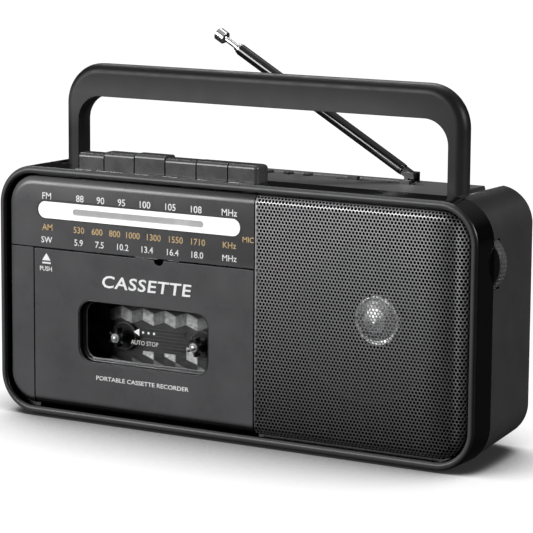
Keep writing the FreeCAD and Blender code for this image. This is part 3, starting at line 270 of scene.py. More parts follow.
def perforated():
    """Lacquered steel sheet with painted light: lighter above and darker below, with painted shade just before
    its right bend and on its rolled edges.
    """
    made = Finish("grille_satin", (0.34, 0.34, 0.345), 0.34, metallic=0.2, specular=0.6)
    # Painted light: the sheet is lighter above and darker below.
    height = made.ranged(made.along("Z"), 0, 1, 10 * MM, 108 * MM)
    made.mottled(0.05, 10.0)
    face = made.blend(height, (0.05, 0.05, 0.05), (0.37, 0.37, 0.375))
    # Painted shade in a band just before the right bend.
    before = made.ranged(made.along("X"), 0, 0.75, 98 * MM, 109 * MM)
    after = made.ranged(made.along("X"), 1, 0, 112 * MM, 114 * MM)
    face = made.blend(made.math("MULTIPLY", before, after), face, (0.02, 0.02, 0.02))
    # Painted shade on the rolled edges as they turn back.
    depth = made.ranged(made.along("Y"), 0, 1, -29.9 * MM, -28.8 * MM)
    made.link(made.blend(depth, face, (0.01, 0.01, 0.01)), made.shader.inputs["Base Color"])
    made.handled(0.03, 3.0)
    made.grained(0.25, 0.006, soft=0.12)
    return made.mat


def clear_pane():
    """Clear acrylic that barely tints what lies behind it."""
    made = Finish("window_clear", (0.9, 0.92, 0.93), 0.04)
    made.shader.inputs["Transmission Weight"].default_value = 1.0
    made.shader.inputs["IOR"].default_value = 1.02
    made.shader.inputs["Alpha"].default_value = 0.25
    made.link(made.ranged(made.noise(8, 4.0), 0.02, 0.07), made.shader.inputs["Roughness"])
    return made.mat


def lit_strip(name, color, glow, rough=0.5):
    """Pale plastic at the dial with a faint painted glow."""
    made = Finish(name, color, rough)
    # Painted glow: emission brightens the dial parts.
    made.link(made.mottled(0.05, 5.0), made.shader.inputs["Emission Color"])
    made.shader.inputs["Emission Strength"].default_value = glow
    made.handled(0.05, 4.0)
    made.grained(0.5, 0.006, soft=0)
    return made.mat


def frosted():
    """Frosted strip in the dial's slot, with a faint painted glow. The pointer behind it shows faintly."""
    made = Finish("frosted_strip", (0.40, 0.40, 0.40), 0.55, specular=0.3)
    # Painted glow on the strip.
    made.link(made.mottled(0.06, 6.0), made.shader.inputs["Emission Color"])
    made.shader.inputs["Emission Strength"].default_value = 0.25
    made.shader.inputs["Alpha"].default_value = 0.7
    made.handled(0.05, 4.0)
    made.grained(0.4, 0.006, soft=0)
    return made.mat


def ledge_grey():
    """The moulded ledge under the window: pale at the left, lost in shade at the right."""
    made = Finish("ledge_grey", (0.2, 0.2, 0.2), 0.4)
    fade = made.ranged(made.along("X"), 0, 1, -76 * MM, -14 * MM)
    made.link(made.blend(fade, (0.30, 0.30, 0.31), (0.02, 0.02, 0.02)), made.shader.inputs["Base Color"])
    made.handled(0.06, 3.0)
    made.grained(0.4, 0.006)
    return made.mat


MATERIALS = {
    "gloss_black": cabinet_front(),
    "panel": panel_gloss(),
    "matte_black": shell_satin(),
    "handle_black": handle_satin(),
    "key_black": plastic("key_satin", (0.048, 0.048, 0.050), 0.28, (0.4, 0.008), 0.1, 0.5, worn=True),
    "small_black": plastic("small_black", (0.012, 0.012, 0.013), 0.35, (0.3, 0.008), 0.15, 0.5, worn=True),
    "wheel_black": plastic("wheel_satin", (0.07, 0.07, 0.072), 0.3, (0.3, 0.008), 0.15, 0.5, worn=True),
    "lens_white": lit_strip("lens_white", (0.93, 0.93, 0.93), 0.3, 0.22),
    "dial_grey": lit_strip("dial_grey", (0.5, 0.5, 0.5), 0.35),
    "pointer_white": lit_strip("pointer_pale", (0.9, 0.9, 0.9), 0.8),
    "frosted": frosted(),
    "grille_steel": perforated(),
    "cone_paper": plastic("cone_paper", (0.003, 0.003, 0.003), 0.9, (0.5, 0.05), 0.3, 0.1),
    "bright_cap": metal("cap_bright", (0.93, 0.93, 0.93), 0.3),
    "cap_grey": plastic("cap_grey", (0.30, 0.30, 0.31), 0.35),
    "basket_steel": plastic("basket_black", (0.004, 0.004, 0.004), 0.7, (0.6, 0.02), specular=0.2),
    "magnet_iron": plastic("magnet_ferrite", (0.06, 0.06, 0.065), 0.6, (0.3, 0.03)),
    "window_clear": clear_pane(),
    "plated_steel": metal("steel_plated", (0.55, 0.55, 0.56), 0.3, (1, 12, 1)),
    "well_black": plastic("well_black", (0.009, 0.009, 0.009), 0.45, (0.4, 0.01), 0.15),
    "reel_black": plastic("reel_black", (0.008, 0.008, 0.008), 0.35, (0.4, 0.008), 0.15),
    "wheel_brass": metal("turned_brass", (0.62, 0.50, 0.28), 0.28, (1, 20, 1)),
    "black_rubber": plastic("black_rubber", (0.016, 0.016, 0.016), 0.75, (0.4, 0.04), 0.2, 0.3),
    "board_brown": plastic("board_phenolic", (0.25, 0.15, 0.06), 0.5, (1.5, 0.02), 0.2),
    "cream_plastic": plastic("cream_moulding", (0.55, 0.52, 0.42), 0.4, (0.5, 0.01), 0.06),
    "ferrite_grey": plastic("ferrite_rod", (0.03, 0.03, 0.035), 0.55, (0.3, 0.03)),
    "core_iron": plastic("laminated_core", (0.07, 0.06, 0.055), 0.5, (0.5, 0.05), 0.3),
    "antenna_chrome": metal("antenna_chrome", (0.82, 0.82, 0.84), 0.1, (1, 1, 1), (0.5, 0.001)),
    "antenna_black": plastic("antenna_black", (0.005, 0.005, 0.006), 0.14, (0.5, 0.002), 0.15, 0.7),
    "print_white": plastic("print_white", (0.9, 0.9, 0.9), 0.5, (0.2, 0.003), 0.04),
    "print_gold": plastic("print_gold", (0.60, 0.42, 0.20), 0.5, (0.2, 0.003), 0.06),
    # Painted light and shade: lit and shaded copies of one plastic for the faces of the well's blocks.
    "tile_painted_light": plastic("tile_painted_light", (0.50, 0.50, 0.49), 0.4, (0.25, 0.02), 0.4, size=1.2),
    "tile_painted_half_shade": plastic("tile_painted_half_shade", (0.17, 0.17, 0.17), 0.4, (0.25, 0.02), 0.4, size=1.2),
    "tile_painted_deep_shade": plastic("tile_painted_deep_shade", (0.03, 0.03, 0.03), 0.45, (0.25, 0.02), 0.25, size=1.2),
    "edge_pale": plastic("edge_pale", (0.38, 0.38, 0.39), 0.3, (0.4, 0.006), 0.08),
    "ledge_grey": ledge_grey(),
}
LOOK_OF = {
    "gloss_black": ["front_housing"],
    "panel": ["side_trim", "dial_panel", "cassette_door"],
    "matte_black": ["rear_housing", "battery_cover"],
    "handle_black": ["handle"],
    "key_black": ["key_pause", "key_stop_eject", "key_fast_forward", "key_rewind", "key_play", "key_record"],
    "small_black": ["cassette_holder", "band_switch_knob", "function_switch_knob", "round_button_left",
                    "round_button_middle", "round_button_right", "ac_inlet", "headphone_jack"],
    "wheel_black": ["tuning_wheel", "volume_wheel"],
    "lens_white": ["dial_lens"],
    "dial_grey": ["dial_diffuser"],
    "pointer_white": ["dial_pointer"],
    "grille_steel": ["speaker_grille"],
    "basket_steel": ["speaker_frame"],
    "cone_paper": ["speaker_cone"],
    "bright_cap": ["speaker_dust_cap"],
    "magnet_iron": ["speaker_magnet"],
    "window_clear": ["door_window"],
    "plated_steel": ["door_hinge_pins", "capstan_shaft", "key_shaft", "handle_pins", "housing_screws",
                     "battery_contacts", "head_bridge", "record_play_head", "erase_head", "mechanism_chassis",
                     "drive_motor"],
    "well_black": ["well_plate"],
    "reel_black": ["takeup_spindle", "supply_spindle"],
    "wheel_brass": ["flywheel", "motor_pulley"],
    "black_rubber": ["drive_belt", "pinch_roller", "rubber_feet"],
    "board_brown": ["main_circuit_board"],
    "cream_plastic": ["tuning_capacitor"],
    "ferrite_grey": ["ferrite_rod"],
    "core_iron": ["power_transformer"],
    "antenna_chrome": ["antenna_section_outer", "antenna_section_inner", "antenna_tip"],
    "antenna_black": ["antenna_barrel", "antenna_swivel"],
}


def dress_nodes():
    """Gives every carried-over node its material."""
    for look, names in LOOK_OF.items():
        for name in names:
            piece = NODES[name]
            if not piece.data.materials:
                piece.data.materials.append(None)
            for place in range(len(piece.material_slots)):
                piece.material_slots[place].link = "OBJECT"
                piece.material_slots[place].material = MATERIALS[look]


# ---------------------------------------------------------------- making pieces

def piece_from(name, mesh_maker, look, body, smooth=False):
    """A mesh object made in a bmesh, with its look, riding on a body."""
    grid = bmesh.new()
    mesh_maker(grid)
    bmesh.ops.recalc_face_normals(grid, faces=grid.faces)
    mesh = bpy.data.meshes.new(name)
    grid.to_mesh(mesh)
    grid.free()
    return placed(name, mesh, look, body, smooth)


def placed(name, mesh, look, body, smooth=False):
    """Puts a mesh in the scene as one piece of the object."""
    piece = bpy.data.objects.new(name, mesh)
    bpy.context.scene.collection.objects.link(piece)
    for one in (look if isinstance(look, (list, tuple)) else [look]):
        mesh.materials.append(MATERIALS[one])
    for face in mesh.polygons:
        face.use_smooth = smooth
    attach(piece, body)
    return piece


def prism(grid, outline, front, back, material=0):
    """A flat shape that faces the front, given as (x, z) points, between two places along Y."""
    near = [grid.verts.new((x, front, z)) for x, z in outline]
    far = [grid.verts.new((x, back, z)) for x, z in outline]
    faces = [grid.faces.new(near), grid.faces.new(far[::-1])]
    count = len(outline)
    for n in range(count):
        faces.append(grid.faces.new((near[n], far[n], far[(n + 1) % count], near[(n + 1) % count])))
    for face in faces:
        face.material_index = material


def skinned(grid, lines):
    """Faces between each closed line of points and the next one."""
    for first, second in zip(lines, lines[1:]):
        count = len(first)
        for n in range(count):
            m = (n + 1) % count
            grid.faces.new((first[n], first[m], second[m], second[n]))


def circle(x, z, radius, count):
    """Points on a circle that faces the front."""
    return [(x + radius * math.cos(math.tau * n / count), z + radius * math.sin(math.tau * n / count))
            for n in range(count)]


def rounded(left, right, bottom, top, radius, steps=8):
    """The points of a rounded rectangle, anticlockwise from its lower right corner."""
    points = []
    centres = [(right - radius, bottom + radius), (right - radius, top - radius),
               (left + radius, top - radius), (left + radius, bottom + radius)]
    for quarter, (x, z) in enumerate(centres):
        for step in range(steps + 1):
            turn = math.radians(90 * quarter - 90 + 90 * step / steps)
            points.append((x + radius * math.cos(turn), z + radius * math.sin(turn)))
    return points


def ring(grid, outer, inner, front, back, material=0):
    """A band between two outlines of equally many points, with its own thickness."""
    count = len(outer)
    rows = [[grid.verts.new((x, y, z)) for x, z in line]
            for line, y in ((outer, front), (inner, front), (inner, back), (outer, back))]
    for here, there in zip(rows, rows[1:] + rows[:1]):
        for n in range(count):
            m = (n + 1) % count
            face = grid.faces.new((here[n], here[m], there[m], there[n]))
            face.material_index = material


def written(text, x, z, cap, width=None, weight=0.0, slant=0.0, spacing=1.0):
    """The mesh of a word that faces the front, its middle at (x, z), its capitals this high."""
    curve = bpy.data.curves.new("word", "FONT")
    curve.body = text
    curve.size = 1.0
    curve.offset = weight
    curve.shear = slant
    curve.space_character = spacing
    curve.extrude = 0.5
    curve.resolution_u = 3
    holder = bpy.data.objects.new("word", curve)
    bpy.context.scene.collection.objects.link(holder)
    bpy.context.view_layer.update()
    mesh = bpy.data.meshes.new_from_object(holder)
    bpy.data.objects.remove(holder)
    xs = [v.co.x for v in mesh.vertices]
    ys = [v.co.y for v in mesh.vertices]
    tall = cap / CAPITAL
    wide = width / (max(xs) - min(xs)) if width else tall
    middle = (max(xs) + min(xs)) / 2
    return [((v.co.x - middle) * wide + x, v.co.z, v.co.y * tall + z - cap / 2) for v in mesh.vertices], [
        tuple(face.vertices) for face in mesh.polygons]


def capital_height():
    """The height of a capital in the built-in typeface at size 1."""
    curve = bpy.data.curves.new("probe", "FONT")
    curve.body = "H"
    holder = bpy.data.objects.new("probe", curve)
    bpy.context.scene.collection.objects.link(holder)
    bpy.context.view_layer.update()
    mesh = bpy.data.meshes.new_from_object(holder)
    bpy.data.objects.remove(holder)
    return max(v.co.y for v in mesh.vertices)


CAPITAL = capital_height()


def printed(name, words, lay, look, body):
    """One piece that holds several printed words. lay carries a word's points onto their surface."""
    points, faces = [], []
    for item in words:
        made, polygons = written(**item)
        start = len(points)
        points += [lay(*point) for point in made]
        faces += [tuple(start + n for n in polygon) for polygon in polygons]
    mesh = bpy.data.meshes.new(name)
    mesh.from_pydata(points, [], faces)
    return placed(name, mesh, look, body)


def lettering(name, words, surface, look, body, thickness=0.06 * MM):
    """Printed words on a face that looks to the front. surface is the face's Y."""
    def lay(x, depth, z):
        return x, surface - thickness / 2 + depth * thickness, z

    return printed(name, words, lay, look, body)


def word(text, x, z, cap=3.0, **more):
    """A word's place and height, in millimetres."""
    if "width" in more:
        more["width"] *= MM
    return dict(text=text, x=x * MM, z=z * MM, cap=cap * MM, **more)


# ---------------------------------------------------------------- speaker grille

def grille():
    """Perforated steel over the speaker: a hexagonal grid of holes, carried round the rolled edges."""
    low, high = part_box("speaker_grille")
    front, left, right, bottom, top = low.y, low.x, high.x, low.z, high.z
    roll, corner = 4.0 * MM, 14.0 * MM
    pitch, hole = 1.70 * MM, 0.69 * MM
    row_step = pitch * math.sqrt(3) / 2
    reach = roll * math.pi / 2 + 0.5 * MM
    bend_right, bend_top, bend_bottom = right - roll, top - roll, bottom + roll
    inner_corner = corner - roll
    x_in = bend_right - inner_corner
    z_in_top, z_in_bottom = bend_top - inner_corner, bend_bottom + inner_corner
    first_hole, plain_edge, sheet_thickness = 1.3 * MM, 2.2 * MM, 0.4 * MM

    def nearest(u, v):
        """The point of the flat sheet's middle from which the roll's corners are measured."""
        return min(u, x_in), min(max(v, z_in_bottom), z_in_top)

    def fold(u, v, lift=0.0):
        """A point of the flat sheet carried onto the rolled one."""
        core_x, core_z = nearest(u, v)
        dx, dz = u - core_x, v - core_z
        far = math.hypot(dx, dz)
        past = far - inner_corner
        if past <= 0:
            return Vector((u, front - lift, v))
        turn = min(past / roll, math.pi / 2)
        straight = max(0.0, past - roll * math.pi / 2)
        out = inner_corner + (roll + lift) * math.sin(turn)
        back = roll - (roll + lift) * math.cos(turn) + straight
        return Vector((core_x + dx / far * out, front + back, core_z + dz / far * out))

    def past_bend(u, v):
        """How far a point of the flat sheet lies beyond where the roll starts."""
        core_x, core_z = nearest(u, v)
        return math.hypot(u - core_x, v - core_z) - inner_corner

    points, index, faces = [], {}, []

    def corner_at(u, v):
        key = (round(u / MM, 3), round(v / MM, 3))
        if key not in index:
            index[key] = len(points)
            points.append(fold(u, v))
        return index[key]

    sides = 12
    cell = pitch / math.sqrt(3)
    rows = int((top - bottom + 2 * reach) / row_step) + 2
    columns = int((right - left + reach) / pitch) + 2
    for row in range(rows):
        v = bottom - reach + roll + row * row_step
        for column in range(columns):
            u = left + first_hole + column * pitch + (pitch / 2 if row % 2 else 0)
            if past_bend(u, v) > reach - plain_edge:
                continue
            outer, inner = [], []
            for n in range(sides):
                angle = math.radians(30 * n)
                size = cell if n % 2 else cell * math.cos(math.radians(30))
                outer.append(corner_at(u + size * math.cos(angle), v + size * math.sin(angle)))
                inner.append(len(points))
                points.append(fold(u + hole * math.cos(angle), v + hole * math.sin(angle)))
            for n in range(sides):
                m = (n + 1) % sides
                faces.append((outer[n], outer[m], inner[m], inner[n]))
    mesh = bpy.data.meshes.new("grille_mesh")
    mesh.from_pydata([tuple(p) for p in points], [], faces)
    piece = placed("grille_mesh", mesh, "grille_steel", "cabinet")
    sheet = piece.modifiers.new("thickness", "SOLIDIFY")
    sheet.thickness = sheet_thickness
    sheet.offset = 1.0
    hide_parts("speaker_grille")

    def hem(grid):
        """The plain edge of the pressed sheet: along the left side and round the back of the roll."""
        lines = []
        turns = [math.radians(a) for a in range(6, 90, 6)]
        outline = [(left, z_in_top, 0, 1), (x_in, z_in_top, 0, 1)]
        outline += [(x_in, z_in_top, math.sin(a), math.cos(a)) for a in turns]
        outline += [(x_in, z_in_top, 1, 0), (x_in, z_in_bottom, 1, 0)]
        outline += [(x_in, z_in_bottom, math.cos(a), -math.sin(a)) for a in turns]
        outline += [(x_in, z_in_bottom, 0, -1), (left, z_in_bottom, 0, -1)]
        for x, z, dx, dz in outline:
            line = []
            for past, lift in ((reach - 2.6 * MM, 0.03 * MM), (reach - 1.8 * MM, 0.03 * MM),
                               (reach - 0.9 * MM, 0.03 * MM), (reach + 0.2 * MM, 0.03 * MM),
                               (reach + 0.2 * MM, -0.5 * MM), (reach - 2.6 * MM, -0.5 * MM)):
                far = inner_corner + past
                line.append(grid.verts.new(fold(x + dx * far, z + dz * far, lift)))
            lines.append(line)
        skinned(grid, lines)
        edge = []
        steps = 40
        for n in range(steps + 1):
            v = bend_bottom - reach + (bend_top - bend_bottom + 2 * reach) * n / steps
            edge.append([grid.verts.new(fold(left + across, v, lift)) for across, lift in
                         ((0, 0.04 * MM), (0.9 * MM, 0.04 * MM), (0.9 * MM, -0.5 * MM), (0, -0.5 * MM))])
        skinned(grid, edge)

    piece_from("grille_hem", hem, "grille_steel", "cabinet", smooth=False)


# ---------------------------------------------------------------- printing on the front

def dial_markings():
    """Frequency scales of the three bands, a black ring of painted shadow round the lens, thicker at its left
    and top, and the strip in its slot.
    """
    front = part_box("dial_panel")[0].y
    white = [word("FM", -96.6, 103.5), word("MHz", 1.5, 103.5, 2.9)]
    for text, x in (("88", -78.2), ("90", -66.9), ("95", -55.5), ("100", -42.8), ("105", -29.3),
                    ("108", -15.7)):
        white.append(word(text, x, 103.5))
    gold = [word("AM", -96.4, 89.0, 2.8), word("KHz", 1.6, 89.0, 2.7), word("MIC", 11.2, 92.2, 2.4)]
    for text, x in (("530", -78.8), ("600", -68.8), ("800", -59.2), ("1000", -49.3), ("1300", -38.1),
                    ("1550", -26.4), ("1710", -14.7)):
        gold.append(word(text, x, 89.0, 2.8))
    white += [word("SW", -96.7, 83.2, 2.8), word("MHz", 1.6, 83.2, 2.7)]
    for text, x in (("5.9", -79.0), ("7.5", -67.5), ("10.2", -54.8), ("13.4", -41.6), ("16.4", -28.0),
                    ("18.0", -15.1)):
        white.append(word(text, x, 83.2, 2.8))
    for item in white + gold:
        item["weight"] = 0.012
    lettering("dial_print_white", white, front, "print_white", "cabinet")
    lens_low, lens_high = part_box("dial_lens")

    def grown(more, shift=0.0):
        """The lens's outline grown by some millimetres, and by shift as well at its left and top, where the
        painted shadow is thicker.
        """
        half = (lens_high.z - lens_low.z + shift * MM) / 2
        return rounded(lens_low.x - more * MM - shift * MM, lens_high.x + more * MM, lens_low.z - more * MM,
                       lens_high.z + more * MM + shift * MM, half + more * MM - 1e-5)

    # Painted shadow: a thin black ring round the lens stands in for the shade of its groove.
    piece_from("lens_painted_shadow", lambda grid: ring(grid, grown(0.45, 0.6), grown(0.02), front - 0.06 * MM,
                                                front + 0.2 * MM), "well_black", "cabinet")
    strip = rounded(-82.0 * MM, -12.0 * MM, 95.75 * MM, 98.45 * MM, 1.3 * MM)
    piece_from("slot_window", lambda grid: prism(grid, strip, front + 0.35 * MM, front + 0.75 * MM),
               "frosted", "cabinet")
    lettering("dial_print_gold", gold, front, "print_gold", "cabinet")


def door_markings():
    """Plain generic words and the eject sign on the door."""
    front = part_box("cassette_door")[0].y
    words = [
        word("CASSETTE", -42.1, 66.6, 5.3, width=48.0, weight=0.018, slant=0.12, spacing=1.08),
        word("PUSH", -97.3, 69.7, 2.0, weight=0.02),
        word("PORTABLE CASSETTE RECORDER", -44.5, 21.6, 1.9, width=50.0, weight=0.012),
    ]
    lettering("door_print", words, front, "print_white", "door")
    skin = front - 0.06 * MM

    def sign(grid):
        prism(grid, [(-99.4 * MM, 73.5 * MM), (-94.6 * MM, 73.5 * MM), (-97.0 * MM, 77.0 * MM)], skin, front)
        prism(grid, rounded(-99.4 * MM, -94.6 * MM, 72.0 * MM, 72.8 * MM, 0.2 * MM, 3), skin, front)

    piece_from("eject_sign", sign, "print_white", "door")
    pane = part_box("door_window")[0].y
    lettering("window_print", [word("AUTO STOP", -44.4, 39.9, 2.0, width=14.7)], pane,
              "print_white", "door")

    def arrow(grid):
        near = pane - 0.06 * MM
        prism(grid, [(-50.3 * MM, 44.7 * MM), (-47.2 * MM, 43.0 * MM), (-47.2 * MM, 46.4 * MM)], near, pane)
        for x in (-45.2, -42.25, -39.3):
            prism(grid, circle(x * MM, 44.8 * MM, 0.62 * MM, 14), near, pane)

    piece_from("tape_arrow", arrow, "print_white", "door")


def key_labels():
    """Function words printed on the top of the housing in front of the keys."""
    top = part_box("front_housing")[1].z
    row_y, cap, thickness, clear = -29.7 * MM, 1.15 * MM, 0.05 * MM, 0.02 * MM
    words = [dict(text=text, x=(left + right) / 2 * MM, z=0.0, cap=cap, width=(right - left) * MM, weight=0.02)
             for text, left, right in (("PAUSE", -81.3, -72.9), ("STOP.EJECT", -70.1, -55.5),
                                       ("F.FWD", -49.7, -41.8), ("REWIND", -34.0, -26.6),
                                       ("PLAY", -16.2, -11.2), ("REC", 0.3, 5.9))]

    def lay(x, depth, z):
        return x, row_y + z, top + clear - depth * thickness

    printed("key_labels", words, lay, "print_white", "cabinet")


# ---------------------------------------------------------------- cassette window

def window_trim():
    """The black well round the clear pane, before it and behind it, its pale lip and its lower ledge."""
    low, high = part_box("door_window")
    margin, radius = 2.5 * MM, 7.0 * MM
    left, right, bottom, top = low.x + margin, high.x - margin, low.z + margin, high.z - margin
    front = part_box("cassette_door")[0].y
    deep = high.y + 2.1 * MM

    def inset(amount):
        return rounded(left + amount * MM, right - amount * MM, bottom + amount * MM, top - amount * MM,
                       radius - amount * MM, 12)

    def band(name, outer, inner, near, far, look):
        piece_from(name, lambda grid: ring(grid, inset(outer), inset(inner), near, far), look, "door",
                   True)

    gap = 0.02 * MM
    band("window_bezel", -0.02, 0.6, front + 0.2 * MM, low.y - gap, "small_black")
    band("window_frame", -0.4, 1.5, high.y + gap, deep, "small_black")
    band("window_lip", 1.45, 1.8, deep - 0.5 * MM, deep + 0.1 * MM, "edge_pale")

    def ledge(grid):
        rise = bottom + 1.5 * MM
        profile = [(rise, high.y + gap), (rise + 0.4 * MM, high.y + gap), (rise + 0.4 * MM, deep - 1.4 * MM),
                   (rise, deep - 1.4 * MM)]
        ends = [[grid.verts.new((x, y, z)) for z, y in profile] for x in (left + 6 * MM, right - 6 * MM)]
        grid.faces.new(ends[0])
        grid.faces.new(ends[1][::-1])
        skinned(grid, ends)

    piece_from("window_ledge", ledge, "ledge_grey", "door")


def well_tiles():
    """Tumbling-block relief on the plate behind the window, laid flat with painted light and shade: each block
    has a painted lit face and a painted shaded face, with deeper painted shade on the lower rows and at the
    left.
    """
    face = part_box("well_plate")[0].y + 0.4 * MM
    width, rise, tall = 5.95 * MM, 2.2 * MM, 5.7 * MM
    first_x, row_z = -92.7 * MM, 44.4 * MM
    left, right, bottom, top = -92 * MM, 4 * MM, 14 * MM, 62 * MM
    spindles = [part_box(name) for name in ("takeup_spindle", "supply_spindle")]
    discs = [((low + high) / 2, 7.2 * MM) for low, high in spindles]
    looks = ["tile_painted_light", "tile_painted_half_shade", "tile_painted_deep_shade", "well_black"]
    # Painted shade: on the lower rows the far faces go black.
    painted_shade_by_row = {-3: (1, 3), -2: (0, 3), -1: (0, 3)}

    ribs = (-58.5 * MM, -33.0 * MM, 32.2 * MM, 44.2 * MM)
    least, relief, gap, shade_x = 0.8 * MM, 0.45 * MM, 0.02, -74 * MM

    def clipped(shape):
        """The part of a face that the spindles' discs and the ribbed panel leave free, or nothing."""
        x, z = sum(p[0] for p in shape) / 4, sum(p[1] for p in shape) / 4
        if any(math.hypot(x - disc.x, z - disc.z) < size for disc, size in discs):
            return None
        if ribs[0] < x < ribs[1] and ribs[2] < max(p[1] for p in shape) and z < ribs[3]:
            shape = [(px, min(pz, ribs[2])) for px, pz in shape]
            if shape[2][1] - shape[1][1] < least:
                return None
        return shape

    def tiles(grid):
        for row in range(-3, 3):
            base = row_z + row * (tall + rise)
            for column in range(9):
                x = first_x + 2 * width * column + (width if row % 2 else 0.0)
                near = [(x, base + rise), (x + width, base), (x + width, base + tall),
                        (x, base + rise + tall)]
                far = [(x + width, base), (x + 2 * width, base + rise), (x + 2 * width, base + rise + tall),
                       (x + width, base + tall)]
                for shape, look in zip((near, far), painted_shade_by_row.get(row, (0, 1))):
                    shape = clipped(shape)
                    if shape is None or not all(left < px < right and bottom < pz < top for px, pz in shape):
                        continue
                    middle = (sum(p[0] for p in shape) / 4, sum(p[1] for p in shape) / 4)
                    small = [(px + (middle[0] - px) * gap, pz + (middle[1] - pz) * gap) for px, pz in shape]
                    # Painted shadow: blocks left of shade_x take the next darker look.
                    shaded = look if middle[0] > shade_x else min(look + 2, 3)
                    prism(grid, small, face - relief, face, shaded)

    piece_from("well_tiles", tiles, looks, "cabinet")


def lathe(grid, profile, x, y, z, material=0, count=28):
    """A surface turned about a line along Y. The profile holds radii and distances from y, in millimetres."""
    rows = [[grid.verts.new((x + r * MM * math.cos(math.tau * n / count), y + d * MM,
                             z + r * MM * math.sin(math.tau * n / count))) for n in range(count)]
            for r, d in profile]
    faces = [grid.faces.new((first[n], first[(n + 1) % count], second[(n + 1) % count], second[n]))
             for first, second in zip(rows, rows[1:]) for n in range(count)]
    for face in faces + [grid.faces.new(rows[0]), grid.faces.new(rows[-1][::-1])]:
        face.material_index = material


def spindle_caps():
    """The turned cap on each reel spindle's tip, bright, then grooved, then grey, and a pale ring on its disc
    that is a painted highlight.
    """
    for name, body in (("takeup_spindle", "takeup"), ("supply_spindle", "supply")):
        low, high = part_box(name)
        x, z = (low.x + high.x) / 2, (low.z + high.z) / 2

        def cap(grid, x=x, z=z, y=low.y):
            lathe(grid, [(0.6, -0.3), (1.0, -0.15), (1.1, 0.3)], x, y, z, 0)
            lathe(grid, [(1.15, 0.1), (1.5, 0.3), (1.55, 0.9)], x, y, z, 2)
            lathe(grid, [(1.6, 0.2), (2.15, 0.4), (2.25, 1.0)], x, y, z, 1)
            lathe(grid, [(2.05, 0.9), (2.7, 1.4), (3.1, 2.4), (3.1, 3.0)], x, y, z, 2)

        piece_from(f"{name}_cap", cap, ["bright_cap", "cap_grey", "well_black"], body, True)
        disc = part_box("well_plate")[0].y - 1.95 * MM
        # Painted highlight: a thin pale ring on the spindle's disc.
        circles = [circle(x, z, r * MM, 48) for r in (6.35, 6.1)]
        piece_from(f"{name}_line", lambda grid, circles=circles: ring(grid, *circles, disc, disc + 0.03 * MM),
                   "edge_pale", body, True)


def cap_ring():
    """The turned lip round the speaker's dust cap."""
    low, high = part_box("speaker_dust_cap")
    x, z, size = (low.x + high.x) / 2, (low.z + high.z) / 2, (high.x - low.x) / 2
    circles = [circle(x, z, r * size, 64) for r in (1.0, 0.93)]
    piece_from("cap_ring", lambda grid: ring(grid, *circles, high.y - 2.6 * MM, high.y - 0.9 * MM),
               "bright_cap", "cabinet", True)


# ---------------------------------------------------------------- studio

MIDDLE = (0.0, 0.0, 0.08)
# name, place, width, height, watts
LIGHTS = (
    ("key_light", (-1.1, -1.7, 0.65), 1.3, 0.9, 47.0),
    ("top_light", (-0.3, 0.1, 1.6), 1.4, 0.5, 8.0),
    ("side_light", (1.8, 0.1, 0.8), 0.6, 0.6, 26.0),
    ("back_light", (-0.8, 1.2, 1.7), 1.2, 0.6, 20.0),
)


def area_light(name, place, width, height, power):
    """A soft rectangular light that faces the middle of the object."""
    data = bpy.data.lights.new(name, "AREA")
    data.shape = "RECTANGLE"
    data.size, data.size_y = width, height
    data.energy = power
    holder = bpy.data.objects.new(name, data)
    bpy.context.scene.collection.objects.link(holder)
    holder.location = place
    holder.rotation_euler = (Vector(MIDDLE) - Vector(place)).to_track_quat("-Z", "Y").to_euler()


def by_ray(tree, seen, unseen):
    """Mixes two shaders: one for what the camera sees, the other for light and reflections."""
    mixed = tree.nodes.new("ShaderNodeMixShader")
    path = tree.nodes.new("ShaderNodeLightPath")
    tree.links.new(path.outputs["Is Camera Ray"], mixed.inputs[0])
    tree.links.new(unseen.outputs[0], mixed.inputs[1])
    tree.links.new(seen.outputs[0], mixed.inputs[2])
    end = next(n for n in tree.nodes if n.type.startswith("OUTPUT"))
    tree.links.new(mixed.outputs[0], end.inputs["Surface"])


def sky():
    """White behind the object. As a light it is dim near the horizon and brighter overhead."""
    world = bpy.data.worlds.new("studio_world")
    world.use_nodes = True
    tree = world.node_tree
    white = tree.nodes["Background"]
    white.inputs["Color"].default_value = (1, 1, 1, 1)
    soft = tree.nodes.new("ShaderNodeBackground")
    split = tree.nodes.new("ShaderNodeSeparateXYZ")
    tree.links.new(tree.nodes.new("ShaderNodeTexCoord").outputs["Generated"], split.inputs[0])
    rise = tree.nodes.new("ShaderNodeMapRange")
    for key, value in (("From Min", 0.25), ("From Max", 0.9), ("To Min", 0.02), ("To Max", 0.5)):
        rise.inputs[key].default_value = value
    tree.links.new(split.outputs["Z"], rise.inputs["Value"])
    tree.links.new(rise.outputs["Result"], soft.inputs["Strength"])
    by_ray(tree, white, soft)
    bpy.context.scene.world = world


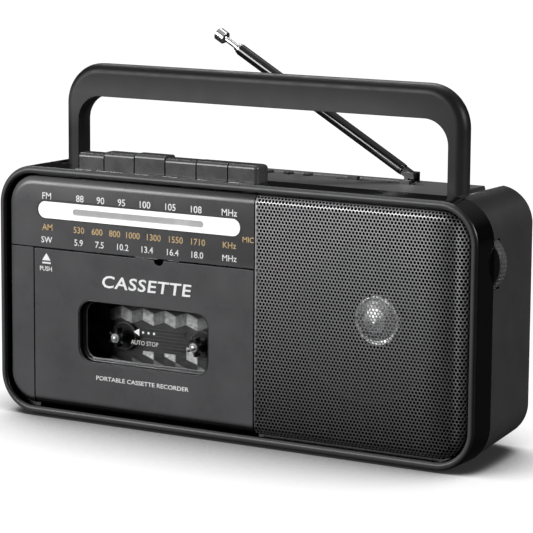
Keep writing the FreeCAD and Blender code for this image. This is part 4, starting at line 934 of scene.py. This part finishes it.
def floor():
    """A plain pale floor, bright to the camera, with a painted contact shadow that darkens it near the object.
    It throws little light back.
    """
    size = 6.0
    mesh = bpy.data.meshes.new("floor")
    corners = [(-size, -size, 0), (size, -size, 0), (size, size, 0), (-size, size, 0)]
    mesh.from_pydata(corners, [], [(0, 1, 2, 3)])
    pale = Finish("floor_pale", (0.05, 0.05, 0.05), 0.6, specular=0.05)
    # Painted shadow: ambient occlusion dims the floor's glow near the object.
    near = pale.add("ShaderNodeAmbientOcclusion", samples=16)
    near.inputs["Distance"].default_value = 0.13
    grain = pale.ranged(pale.noise(300.0, 2.0), 0.99, 1.0)
    glow = pale.math("MULTIPLY", grain, pale.ranged(near.outputs["AO"], 0.01, 1.0, 0.42, 0.80))
    pale.link(glow, pale.shader.inputs["Emission Strength"])
    pale.shader.inputs["Emission Color"].default_value = (1, 1, 1, 1)
    dim = pale.add("ShaderNodeBsdfDiffuse")
    dim.inputs["Color"].default_value = (0.03, 0.03, 0.03, 1)
    by_ray(pale.tree, pale.shader, dim)
    mesh.materials.append(pale.mat)
    piece = bpy.data.objects.new("floor", mesh)
    bpy.context.scene.collection.objects.link(piece)


def studio():
    """Soft light from the front left, above, the right and the back left, over a plain floor."""
    floor()
    sky()
    for light in LIGHTS:
        area_light(*light)
    view = bpy.context.scene.view_settings
    view.view_transform = "Standard"
    view.look = "None"
    view.exposure = 0.0


def camera():
    """The camera looks from the front right, a little from above."""
    around, above, roll = math.radians(30.604), math.radians(9.366), math.radians(0.413)
    target = Vector((0.02116, -0.032, 0.08148))
    distance = 1.1388
    back = Vector((math.sin(around) * math.cos(above), -math.cos(around) * math.cos(above), math.sin(above)))
    right = Vector((math.cos(around), math.sin(around), 0))
    up = back.cross(right)
    right, up = right * math.cos(roll) + up * math.sin(roll), up * math.cos(roll) - right * math.sin(roll)
    data = bpy.data.cameras.new("camera")
    data.lens = 176.3
    data.sensor_width = 36.0
    holder = bpy.data.objects.new("camera", data)
    bpy.context.scene.collection.objects.link(holder)
    turn = Matrix((right, up, back)).transposed().to_4x4()
    holder.matrix_world = Matrix.Translation(target + back * distance) @ turn
    bpy.context.scene.camera = holder


dress_nodes()
grille()
dial_markings()
door_markings()
key_labels()
window_trim()
well_tiles()
spindle_caps()
cap_ring()
studio()
camera()
